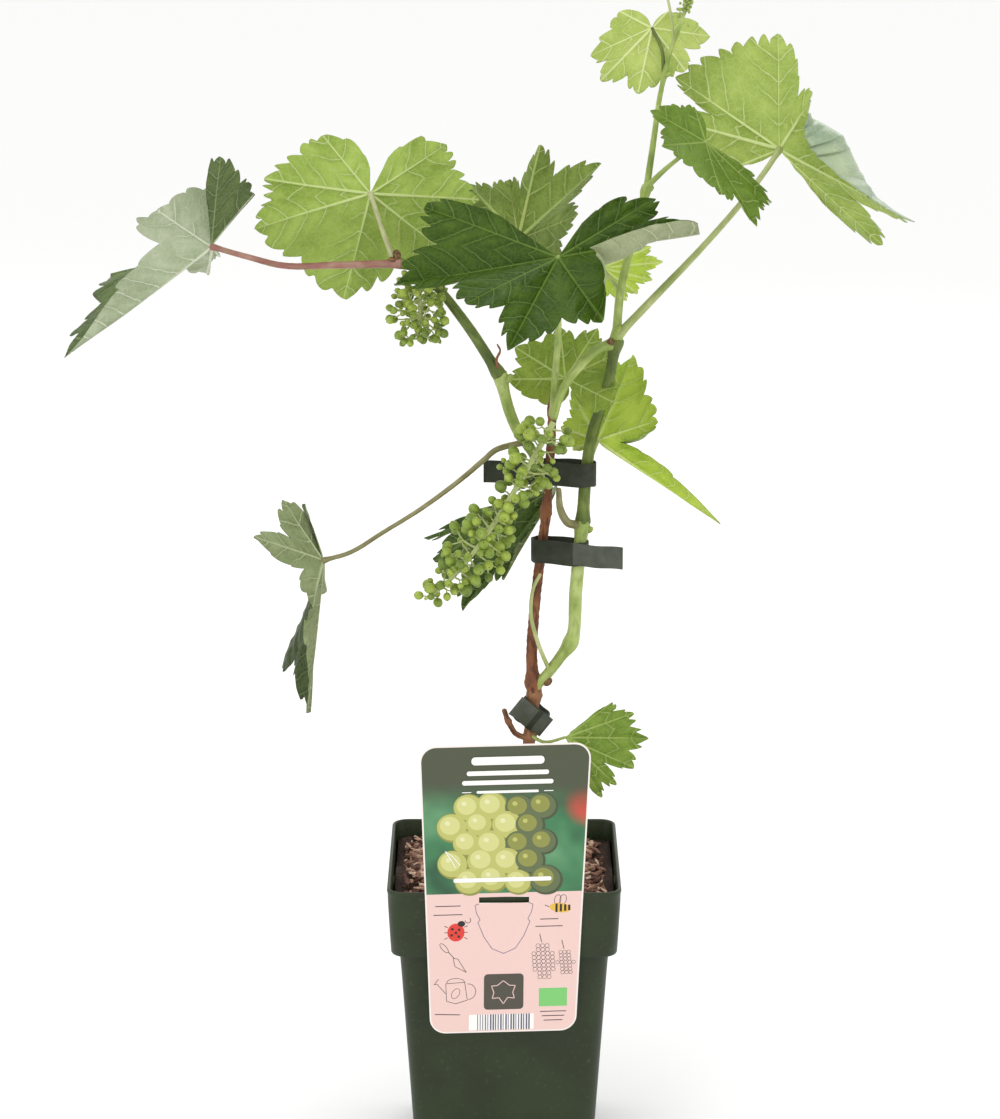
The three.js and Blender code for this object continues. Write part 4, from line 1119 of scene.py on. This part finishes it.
# %% Berry materials
berry_skins = []
BERRY_TONES = (("bright", "#a3b64e", "#879b38"), ("mid", "#8ea342", "#73892f"),
               ("deep", "#788d38", "#5f7429"))
for tone, light, dark in BERRY_TONES:
    berry_skin = new_material(f"{tone} unripe berry skin", light, 0.34, ior=1.42)
    finish_material(berry_skin, ramp(berry_skin, noise(berry_skin, 3.5, 3), [(0.35, dark), (0.65, light)]))
    berry_skins.append(berry_skin)
pedicel_skin = new_material("pale pedicel", "#bcc784", 0.5)
flower_scar = new_material("dry flower scar", "#4a3d22", 0.8)
print("berry skins:", len(berry_skins))


# %% Bunches
def ball(centre, radius, axis, around=11, up=7, stretch=1.08):
    """A slightly egg-shaped closed ball whose long axis is `axis`."""
    axis = axis / np.linalg.norm(axis)
    side = np.cross(axis, (0.3, 0.9, 0.31))
    side /= np.linalg.norm(side)
    other = np.cross(axis, side)
    points = [centre - axis * radius * stretch]
    for i in range(1, up):
        a = math.pi * i / up
        for k in range(around):
            b = 2 * math.pi * k / around
            out = side * math.cos(b) + other * math.sin(b)
            points.append(centre - axis * radius * stretch * math.cos(a) + out * radius * math.sin(a))
    points.append(centre + axis * radius * stretch)
    last = len(points) - 1
    faces = [(0, 1 + (k + 1) % around, 1 + k) for k in range(around)]
    for i in range(up - 2):
        for k in range(around):
            a, b = 1 + i * around + k, 1 + i * around + (k + 1) % around
            faces.append((a, b, b + around, a + around))
    base = 1 + (up - 2) * around
    faces += [(base + k, base + (k + 1) % around, last) for k in range(around)]
    return np.array(points), faces


def thin_bar(batch, start, end, first, last, sides=6, sag=0.6):
    """Adds a thin, slightly sagging bar that tapers from one radius to another."""
    middle = (np.array(start) + np.array(end)) / 2 - np.array([0, 0, sag])
    points, faces, _ = bar([start, middle, end], (first, last), sides=sides, step=1.6)
    batch.add(points, faces)


BUNCHES = {
    "berry_bunch_main": {
        "route": [(27, -24, 427), (17, -28, 409.5), (6, -30, 390.5), (-13.5, -30, 359.5), (-30, -29, 339),
                  (-43.5, -28, 328)],
        "reach": (8, 19, 18, 16, 13, 9, 12, 17, 18, 15, 12, 8, 5),
        "laterals": 70, "berries": (5, 7), "radius": (2.0, 3.6), "stalk": (1.7, 1.0), "seed": 5,
    },
    "berry_bunch_small": {
        "route": [(-49, -3, 505), (-46.5, -4, 496), (-46, -4, 482), (-47, -3, 468)],
        "reach": (6, 13, 17, 18, 16, 9),
        "laterals": 40, "berries": (5, 6), "radius": (1.6, 2.7), "stalk": (1.3, 0.8), "seed": 9,
    },
}
GOLDEN = math.pi * (3 - math.sqrt(5))


def grow_bunch(name, facts):
    """A stalk, its side branches and their berries, as one piece of berries and one of stalks."""
    rng = random.Random(facts["seed"])
    line, along = smooth_route(facts["route"], 0.5)
    side, other = carried_frames(line)
    ahead = np.cross(side, other)
    berries, stalks = Batch(), Batch()
    points, faces, _ = bar(facts["route"], facts["stalk"], sides=10, step=1.2)
    stalks.add(points, faces)
    placed = []
    for n in range(facts["laterals"]):
        share = 0.03 + 0.95 * n / (facts["laterals"] - 1)
        i = min(len(line) - 1, int(share * len(line)))
        reach = np.interp(share, np.linspace(0, 1, len(facts["reach"])), facts["reach"])
        a = n * GOLDEN + rng.uniform(-0.3, 0.3)
        out = side[i] * math.cos(a) + other[i] * math.sin(a) - ahead[i] * rng.uniform(-0.25, 0.35)
        out /= np.linalg.norm(out)
        hub = line[i] + out * reach * rng.uniform(0.3, 0.5)
        thin_bar(stalks, line[i], hub, 0.75, 0.5)
        for m in range(rng.randint(*facts["berries"])):
            splay = np.array([rng.gauss(0, 1) for _ in range(3)])
            aim = out * 1.1 + splay / np.linalg.norm(splay) * rng.uniform(0.5, 1.1)
            aim /= np.linalg.norm(aim)
            radius = rng.uniform(*facts["radius"]) * (1.0 if rng.random() < 0.75 else 0.75)
            centre = hub + aim * max(reach * rng.uniform(0.42, 0.62) - radius * 0.3, radius + 1.6)
            if any(np.linalg.norm(centre - c) < (radius + r) * 0.86 for c, r in placed):
                continue
            placed.append((centre, radius))
            thin_bar(stalks, hub, centre - aim * radius * 0.9, 0.34, 0.42, sides=5, sag=0.3)
            berries.add(*ball(centre, radius, aim), rng.choices((0, 1, 2), weights=(4, 4, 2))[0])
            scar = ball(centre + aim * radius * 1.06, 0.34, aim, around=6, up=4, stretch=0.8)
            berries.add(*scar, 3)
    berries.piece(f"{name}_berries", berry_skins + [flower_scar], node=name, slot="berries")
    stalks.piece(f"{name}_pedicels", [pedicel_skin], slot="green_stem")
    print(name, "berries:", len(placed))


for name, facts in BUNCHES.items():
    grow_bunch(name, facts)

# %% [markdown]
# ## Buds, scales and the growing tip
#
# Where a leaf stalk leaves the shoot sits a winter bud under red-brown scales,
# and the joint is often flushed brown. A dry curled stipule clings to one side
# shoot. The growing tip carries a knot of flower buds, no bigger than a pea.

# %% Buds and tip
bud_scale = new_material("brown bud scale", "#6a4a2c", 0.6)
bud_green = new_material("green bud", "#93a552", 0.5)
dry_scale = new_material("dry stipule", "#8a5a3c", 0.7)
finish_material(bud_scale, ramp(bud_scale, noise(bud_scale, 1.5, 4), [(0.35, "#4a3018"), (0.65, "#8a6840")]))

buds = Batch()
BUDS = [  # centre, radius, the way it points, material number
    ((-58.5, -4, 515.5), 2.3, (-0.2, 0, 1), 0), ((-61, -5, 513), 1.7, (-1, 0, 0.4), 0),
    ((58.8, -2.4, 466.5), 2.4, (-0.6, -0.6, 0.5), 0), ((62.5, -2.0, 474), 1.9, (0.3, -0.4, 1), 1),
    ((24.5, -4, 273.5), 2.2, (0.6, -0.3, 0.6), 0), ((47.4, -2.5, 361), 1.8, (0.6, -0.4, 0.6), 1),
    ((2.6, -1, 446.5), 2.2, (0.7, -0.2, 0.8), 1), ((79.4, -1, 551.5), 1.6, (0.7, -0.2, 0.7), 1),
    ((28.6, 2.5, 428), 1.6, (0.5, -0.5, 0.7), 0), ((88.2, -1, 613.5), 1.3, (0.8, 0, 0.6), 1),
]
for centre, radius, aim, tone in BUDS:
    points, faces = ball(np.array(centre, float), radius, np.array(aim, float), around=9, up=7, stretch=1.45)
    buds.add(points, faces, tone)
curl, curl_faces, _ = bar(
    [(-0.5, -1, 449), (-3.4, -3, 453), (-4.2, -4, 458), (-2.2, -3.5, 462.5), (-3.8, -3, 466)],
    (1.0, 0.8, 0.5), sides=7, step=0.8, rough=0.1,
)
buds.add(curl, curl_faces, 2)
tip_rng = random.Random(3)
for _ in range(46):
    spread = np.array([tip_rng.gauss(0, 1.9), tip_rng.gauss(0, 1.7), tip_rng.gauss(0, 3.2)])
    centre = np.array([98.5, -3.2, 652.0]) + spread + np.array([0.32, 0, 0]) * spread[2]
    buds.add(*ball(centre, tip_rng.uniform(0.7, 1.1), np.array([0.2, -0.2, 1.0]), around=7, up=5), 1)
buds.piece("buds_and_scales", [bud_scale, bud_green, dry_scale], slot="green_stem")

print("buds:", len(BUDS))

# %% [markdown]
# ## Hanging card
#
# A picture card of thin white polypropylene is hung over the rim. Its upper
# half is a soft picture of ripe grapes under a dark header, its lower half pale
# pink with small drawings, and its own white edge shows all round. All the
# print is generic: plain bars, pictures and stripes. Each printed shape is a
# film of ink a few hundredths of a millimetre thick, laid on the card's face.

# %% Card stock
CARD = {
    "bottom": 88.5, "top": 256, "top_half": 47.2, "bottom_half": 40.5, "lean": 0.0075, "corner": 9,
    "thick": 0.7,
    "tilt": 1.6, "slot_half": 13.8, "slot_low": 164.5, "slot_high": 168.2, "crease": 170.5, "margin": 0.9,
}
CARD["back"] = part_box("card")[1][1] / MM
CARD["front"] = CARD["back"] - CARD["thick"]
card_stock = new_material("white polypropylene card", "#efe6e0", 0.38, ior=1.49)


def on_card(x, z, lift=0.0):
    """A place on the card's face. Its lines rise by the tilt, and its sides lean the other way."""
    middle = (CARD["top"] + CARD["bottom"]) / 2
    a = math.radians(CARD["tilt"])
    dz = z - middle
    return (x + dz * CARD["lean"], CARD["front"] - lift, middle + x * math.sin(a) + dz)


def card_half(z):
    """The card's half width at a level."""
    share = (z - CARD["bottom"]) / (CARD["top"] - CARD["bottom"])
    return CARD["bottom_half"] + (CARD["top_half"] - CARD["bottom_half"]) * share


def card_outline(inset, low=None, high=None, steps=8):
    """The card's rounded outline, or the part of it between two levels, anticlockwise."""
    r = CARD["corner"] - inset
    bottom, top = CARD["bottom"] + inset, CARD["top"] - inset
    outline = []
    for cx, cz, start in ((1, 0, -90), (1, 1, 0), (-1, 1, 90), (-1, 0, 180)):
        level = top - r if cz else bottom + r
        centre = cx * (card_half(level) - inset - r)
        for i in range(steps + 1):
            a = math.radians(start + 90 * i / steps)
            outline.append((centre + r * math.cos(a), level + r * math.sin(a)))
    if low is not None:
        outline = [p for p in outline if p[1] > low] if high is None else [p for p in outline if p[1] < high]
        level = low if high is None else high
        half = card_half(level) - inset
        ends = [(-half, level), (half, level)] if high is None else [(half, level), (-half, level)]
        if high is None:
            outline = ends + outline
        else:
            cut_at = next(i for i, p in enumerate(outline) if p[0] < 0)
            outline = outline[:cut_at] + ends + outline[cut_at:]
    return outline


def film(batch, outline, tone, lift, thick=0.04):
    """A flat film with a given outline (x, z) on the card's face."""
    near = [on_card(x, z, lift + thick) for x, z in outline]
    far = [on_card(x, z, lift - 0.02) for x, z in outline]
    n = len(outline)
    faces = [tuple(range(n)), tuple(reversed(range(n, 2 * n)))]
    faces += [(i, i + n, (i + 1) % n + n, (i + 1) % n) for i in range(n)]
    batch.add(near + far, faces, tone)


def round_shape(x, z, rx, rz=None, turn=0.0, steps=18, share=(0, 1)):
    """Points on an ellipse, or on a share of it."""
    rz = rx if rz is None else rz
    t = math.radians(turn)
    places = []
    for i in range(steps + (share != (0, 1))):
        a = 2 * math.pi * (share[0] + (share[1] - share[0]) * i / steps)
        dx, dz = rx * math.cos(a), rz * math.sin(a)
        places.append((x + dx * math.cos(t) - dz * math.sin(t), z + dx * math.sin(t) + dz * math.cos(t)))
    return places


def box_shape(x0, x1, z0, z1):
    return [(x0, z0), (x1, z0), (x1, z1), (x0, z1)]


def rounded_box(x, z, half_x, half_z, corner):
    places = []
    for sx, sz, start in ((1, -1, -90), (1, 1, 0), (-1, 1, 90), (-1, -1, 180)):
        cx, cz = x + sx * (half_x - corner), z + sz * (half_z - corner)
        for i in range(6):
            a = math.radians(start + 18 * i)
            places.append((cx + corner * math.cos(a), cz + corner * math.sin(a)))
    return places


card_points, card_faces = [], []
edge = card_outline(0)
soft = card_outline(0.15)
for outline, lift in ((soft, 0), (edge, -0.15), (edge, -0.55), (soft, -CARD["thick"])):
    card_points += [on_card(x, z, lift) for x, z in outline]
n = len(edge)
for r in range(3):
    a, b = r * n, (r + 1) * n
    card_faces += [(a + i, b + i, b + (i + 1) % n, a + (i + 1) % n) for i in range(n)]
card_faces += [tuple(range(n)), tuple(reversed(range(3 * n, 4 * n)))]
card = make_piece("card_plate", card_points, card_faces, [card_stock], node="card", slot="card", smooth=False)
slot_left = on_card(-CARD["slot_half"], CARD["slot_low"])[0]
slot_right = on_card(CARD["slot_half"], CARD["slot_high"])[0]
near = (slot_left, CARD["front"] - 3, CARD["slot_low"])
far = (slot_right, CARD["back"] + 0.2, CARD["slot_high"])
cut(card, block_cutter("slot", near, far))
print("card:", len(card.data.polygons), "faces")

# %% Printed films
INKS = {
    "pink ink": "#e6c5be", "dark drawing ink": "#3b3431", "red ink": "#d8382a", "black ink": "#1e1c1a",
    "yellow ink": "#e0b441", "dark panel ink": "#4a463c", "green patch ink": "#79c46e",
    "white ink": "#f4f2ec",
    "violet grey ink": "#5d5873", "pale grape ink": "#b7b866", "bright grape ink": "#cdcd86",
    "grape shade ink": "#8a8d43", "deep grape ink": "#434f33", "dim grape ink": "#5d6a45",
    "grape glint ink": "#dcdcaa",
}
ink_number = {ink: i for i, ink in enumerate(INKS)}
inks = [new_material(ink, colour, 0.36, ior=1.49) for ink, colour in INKS.items()]

picture_ink = new_material("soft picture ink", "#4f7a50", 0.36, ior=1.49)
height_place = add_node(picture_ink, "TexCoord").outputs["Object"]
levels = add_node(picture_ink, "SeparateXYZ", None, {"Vector": height_place})
cloud = noise(picture_ink, 30, 2)
greens = ramp(picture_ink, cloud, [(0.3, "#1f4a30"), (0.5, "#3c7a4f"), (0.68, "#5f9468")])
RED_PATCH = (46 * MM, CARD["front"] * MM, 222 * MM)
red_distance = add_node(
    picture_ink, "VectorMath", {"operation": "DISTANCE", 1: RED_PATCH}, {0: height_place}
).outputs["Value"]
side_red = step_down(picture_ink, red_distance, 5 * MM, 15 * MM)
greens = blend_colours(picture_ink, side_red, greens, "#c24a38")
below_header = step_down(picture_ink, levels.outputs[2], 214 * MM, 236 * MM)
header_fade = calc(picture_ink, "SUBTRACT", 1.0, below_header)
finish_material(picture_ink, blend_colours(picture_ink, header_fade, greens, "#474d38"))

picture = Batch()
film(picture, card_outline(CARD["margin"], low=CARD["crease"]), 0, 0.02)
picture.piece("card_picture", [picture_ink], slot="card", smooth=False)

ink = Batch()


def fill(outline, tone, lift):
    """An area of ink. `tone` names the ink, `lift` is its height over the card."""
    film(ink, outline, ink_number[tone], lift)


def draw(route, width, tone="dark drawing ink", lift=0.05):
    """A drawn line of even width along a route (x, z)."""
    for (x0, z0), (x1, z1) in zip(route, route[1:]):
        length = math.hypot(x1 - x0, z1 - z0) or 1
        nx, nz = -(z1 - z0) / length * width / 2, (x1 - x0) / length * width / 2
        fill([(x0 + nx, z0 + nz), (x0 - nx, z0 - nz), (x1 - nx, z1 - nz), (x1 + nx, z1 + nz)], tone, lift)


fill(card_outline(CARD["margin"], low=0, high=CARD["slot_low"]), "pink ink", 0.02)
for x0, x1, z0, z1 in (
    (-card_half(167) + CARD["margin"], -CARD["slot_half"], CARD["slot_low"], CARD["slot_high"]),
    (CARD["slot_half"], card_half(167) - CARD["margin"], CARD["slot_low"], CARD["slot_high"]),
    (-card_half(169) + CARD["margin"], card_half(169) - CARD["margin"], CARD["slot_high"], CARD["crease"]),
):
    fill(box_shape(x0, x1, z0, z1), "pink ink", 0.02)


def printed_grape(x, z, radius, bright, level):
    """A berry drawn as discs of ink, each a little brighter and nearer the upper left."""
    tones = ("grape shade ink", "pale grape ink", "bright grape ink", "grape glint ink")
    if not bright:
        tones = ("deep grape ink", "dim grape ink", "grape shade ink", "pale grape ink")
    for i, (shrink, shift) in enumerate(((1, 0), (0.9, 0.06), (0.62, 0.18), (0.16, 0.34))):
        disc = round_shape(x - shift * radius, z + shift * radius, radius * shrink * 1.08, radius * shrink,
                           turn=-20, steps=24)
        fill(disc, tones[i], level + 0.05 * i)


GRAPES = {"rows": 5, "top": 220, "step": 10.6, "radius": 8.2, "apart": 14.2, "bright_to": 8}
grape_rng = random.Random(21)
level = 0.08
for row in range(GRAPES["rows"]):
    z = GRAPES["top"] - row * GRAPES["step"]
    for column in range(-2, 3):
        x = column * GRAPES["apart"] + (GRAPES["apart"] / 2 if row % 2 else 0) - 6
        x += grape_rng.uniform(-1.5, 1.5)
        if not -33 < x < 24 or z < CARD["crease"] + 6.5:
            continue
        size = GRAPES["radius"] * grape_rng.uniform(0.9, 1.06)
        printed_grape(x, z + grape_rng.uniform(-1.2, 1.2), size, x < GRAPES["bright_to"], level)
        level += 0.004
top_ink = level + 0.3

# Plain bars stand in for the lines of the header.
for z, half, thick in ((247, 20, 4.6), (240, 22.5, 2.6), (234.6, 25, 2.6), (229.2, 17, 1.5)):
    fill(rounded_box(1.5, z, half, thick / 2, thick * 0.45), "white ink", top_ink)
for end in (-1, 1):
    draw([(1.5 + end * 20, 229.2), (1.5 + end * 25, 229.2)], 0.5, "white ink", top_ink)
fill(rounded_box(-1, 178.4, 27, 1.2, 1.0), "white ink", top_ink)
for squiggle in ([(-33, 196), (-28, 192), (-24.5, 187.5)], [(-33, 196), (-29, 190), (-27, 186)]):
    draw(squiggle, 0.45, "white ink", top_ink)

# The tongue that holds the card to the rim is a cut line below the slot.
tongue_half = [(13.8, 164.5), (16, 163.5), (15.2, 159), (13.2, 155), (14.4, 153.5), (11, 145), (6.5, 138)]
tongue = [(-x, z) for x, z in tongue_half] + [(0, 135)] + tongue_half[::-1]
draw(tongue, 0.35, "violet grey ink")


def ladybird(x, z):
    fill(round_shape(x, z, 4.8, 5.3), "red ink", 0.06)
    fill(round_shape(x + 3, z + 5, 2.1, 1.7), "black ink", 0.07)
    for dx, dz in ((-2, 2), (1.8, 1.6), (-2.4, -1.6), (1.6, -2.4), (0, -0.2)):
        fill(round_shape(x + dx, z + dz, 0.75), "black ink", 0.12)
    for side in (-1, 1):
        for dz in (-3, 0, 3):
            draw([(x + side * 4.6, z + dz), (x + side * 6.4, z + dz * 1.3)], 0.4)
    draw(round_shape(x + 6.6, z + 7, 1.6, share=(0.5, 1.15), steps=8), 0.35)


def bee(x, z):
    fill(round_shape(x, z, 6, 2.7, turn=-8), "yellow ink", 0.06)
    for i, dx in enumerate((-2.6, -0.2, 2.2, 4.4)):
        tall = 2.5 - 0.3 * i
        fill(box_shape(x + dx, x + dx + 1.2, z - tall, z + tall), "black ink", 0.12)
    for dx in (-1.4, 1.6):
        draw(round_shape(x + dx, z + 4.8, 1.8, 2.8, turn=-12) + [(x + dx + 1.8, z + 4.4)], 0.3)
    draw([(x - 6, z + 0.6), (x - 8.4, z + 1.8)], 0.4)


def drawn_bunch(x, z, wide, tall, grain):
    for row in range(int(tall / grain)):
        share = row / (tall / grain)
        half = wide * math.sin(math.pi * (0.2 + 0.75 * share))
        for k in range(-int(half / grain), int(half / grain) + 1):
            circle = round_shape(x + k * grain * 1.1 + share * 1.5, z - row * grain, grain * 0.52, steps=8)
            draw(circle + circle[:1], 0.22)
    draw([(x - 0.5, z + 2), (x - 1.6, z + 7)], 0.4)


def watering_can(x, z):
    body = [(-5.5, 5), (5, 5.6), (6.5, -5), (0, -7), (-5, -5.4), (-5.5, 5)]
    draw([(x + a, z + b) for a, b in body], 0.32)
    draw(round_shape(x, z + 5.4, 5, 2.6, share=(0, 0.5), steps=8), 0.32)
    draw([(x - 5.4, z - 1), (x - 10.5, z + 5), (x - 12, z + 4.6), (x - 9.6, z + 7.8)], 0.32)
    draw(round_shape(x + 7, z, 4.2, 4.6, share=(-0.25, 0.27), steps=10), 0.32)
    draw(round_shape(x, z - 1, 2, 3.2, turn=-30) + [(x + 1.7, z - 2)], 0.28)


def trowel(x, z):
    blade = [(0, 0), (2.6, -0.6), (7.4, -8.6), (1, -5), (0, 0)]
    draw([(x + a, z + b) for a, b in blade], 0.32)
    draw([(x + 0.8, z - 0.4), (x - 2.6, z + 3.6)], 0.4)
    draw(round_shape(x - 5, z + 6, 1.3, 3.4, turn=40) + [(x - 4, z + 6.8)], 0.32)


ladybird(-26.5, 148)
bee(31, 161)
drawn_bunch(21.5, 139, 5.6, 21, 2.3)
drawn_bunch(33.8, 135, 4.2, 15, 2.0)
trowel(-28, 133)
watering_can(-26.5, 113)
# Short plain lines stand in for notes.
for x, z, half in ((-31, 163.5, 7), (-31, 158.4, 8), (25, 154.6, 5), (25, 150.4, 7.5)):
    draw([(x - half, z), (x + half, z)], 0.5)
draw([(-38, 100), (-24, 99.4)], 0.5)
fill(rounded_box(0.2, 112.5, 11, 10.5, 2.2), "dark panel ink", 0.05)
mark_half = [(3.4, 116.2), (6.6, 116), (5.2, 112), (6.2, 108.6), (2.4, 109)]
leaf_mark = [(0, 119)] + mark_half + [(0, 105.4)] + [(-x, z) for x, z in mark_half[::-1]]
draw(leaf_mark + leaf_mark[:1], 0.45, "pink ink", 0.12)
fill(rounded_box(27.6, 108.6, 7.8, 5.4, 0.5), "green patch ink", 0.05)
for k in range(3):
    draw([(20.5 + k, 100.2 - 2.6 * k), (35 - k, 100.2 - 2.6 * k)], 0.5)
STRIPES = {"low": 90, "high": 99.2, "from": -14.4, "apart": 1.42, "count": 21, "seed": 2}
fill(box_shape(-19, 17, STRIPES["low"], STRIPES["high"]), "white ink", 0.05)
stripe_rng = random.Random(STRIPES["seed"])
for k in range(STRIPES["count"]):
    x = STRIPES["from"] + k * STRIPES["apart"]
    wide = stripe_rng.choice((0.45, 0.6, 0.85))
    fill(box_shape(x, x + wide, STRIPES["low"], STRIPES["high"]), "violet grey ink", 0.1)
ink.piece("card_print", inks, slot="card", smooth=False)

# %% [markdown]
# ## Tape ties
#
# Soft plastic tape, thirteen millimetres wide and dull grey green, is stapled
# round the two stems at three heights, with its ends left long.

# %% Ties
tape = new_material("soft binding tape", "#2b3123", 0.55, ior=1.49, Specular_IOR_Level=0.35)
tape_scuff = noise(tape, 7, 5)
tape_colour = ramp(tape, tape_scuff, [(0.35, "#23281a"), (0.7, "#323829")])
finish_material(tape, tape_colour, None, noise(tape, 1.2), 0.08)
tape_light = new_material("tape in the light", "#565b50", 0.5, ior=1.49)
finish_material(tape_light, ramp(tape_light, noise(tape_light, 7, 5), [(0.3, "#3a3f33"), (0.7, "#4d5247")]))

TIE = {"width": 13, "thick": 0.9, "half": 5.2}
TIES = [
    {"node": "tie_upper", "from": (25, 4), "to": (45, 0), "low": 386, "tail": (-36, 4), "tilt": 0},
    {"node": "tie_middle", "from": (21, 3), "to": (41, -4), "low": 342, "tail": (18, 49), "tilt": 0},
    {"node": "tie_lower", "from": (12, 0), "to": (18, 0), "low": 247, "tail": (-8, 14), "tilt": 38},
]


def tape_strip(path, width, thick, closed):
    """Tape along a flat path of (x, y), as wide as `width` along Z, with eased edges."""
    path = np.array(path, float)
    if closed:
        ahead = np.roll(path, -1, axis=0) - np.roll(path, 1, axis=0)
    else:
        ahead = np.gradient(path, axis=0)
    ahead /= np.linalg.norm(ahead, axis=1, keepdims=True)
    out = np.stack([ahead[:, 1], -ahead[:, 0]], 1)
    section = [(-0.5, -0.5), (-0.25, -0.51), (0.25, -0.51), (0.5, -0.49)]
    section += [(0.5, 0.49), (0.25, 0.51), (-0.25, 0.51), (-0.5, 0.5)]
    rings = []
    for i, (p, o) in enumerate(zip(path, out)):
        ripple = 0.25 * math.sin(i * 0.9)
        rings.append([(*(p + o * a * thick), b * width + ripple) for a, b in section])
    points, faces = loft(rings, close_ends=not closed)
    if closed:
        m, last = len(section), (len(rings) - 1) * len(section)
        faces += [(last + i, last + (i + 1) % m, (i + 1) % m, i) for i in range(m)]
    return np.array(points), faces


for tie in TIES:
    dx, dy = tie["to"][0] - tie["from"][0], tie["to"][1] - tie["from"][1]
    length = math.hypot(dx, dy)
    middle_half = TIE["half"] + TIE["thick"] / 2
    loop = []
    for i in range(15):
        a = math.pi / 2 + math.pi * i / 14
        loop.append((middle_half * math.cos(a), middle_half * math.sin(a)))
    loop += [(length * k / 6, -middle_half) for k in range(1, 6)]
    for i in range(15):
        a = -math.pi / 2 + math.pi * i / 14
        loop.append((length + middle_half * math.cos(a), middle_half * math.sin(a)))
    loop += [(length * k / 6, middle_half) for k in range(5, 0, -1)]
    start, end = tie["tail"]
    tail = [(start + (end - start) * k / 10, -TIE["half"] - TIE["thick"] * (0.5 + 0.3 * math.sin(k * 0.5)))
            for k in range(11)]
    strips = Batch()
    strips.add(*tape_strip(loop, TIE["width"], TIE["thick"], True), 0)
    strips.add(*tape_strip(tail, TIE["width"] - 0.6, TIE["thick"] * 0.8, False), 1 if end > length else 0)
    placed = []
    tilt, yaw = math.radians(tie["tilt"]), math.atan2(dy, dx)
    centre = (tie["from"][0] + dx / 2, tie["from"][1] + dy / 2, tie["low"] + TIE["width"] / 2)
    for points in strips.points:
        points = points - np.array([length / 2, 0, 0])
        placed.append(turned(points, yaw, tilt, 0, centre))
    strips.points = placed
    strips.piece(f"{tie['node']}_tape", [tape, tape_light], node=tie["node"], slot="tape")
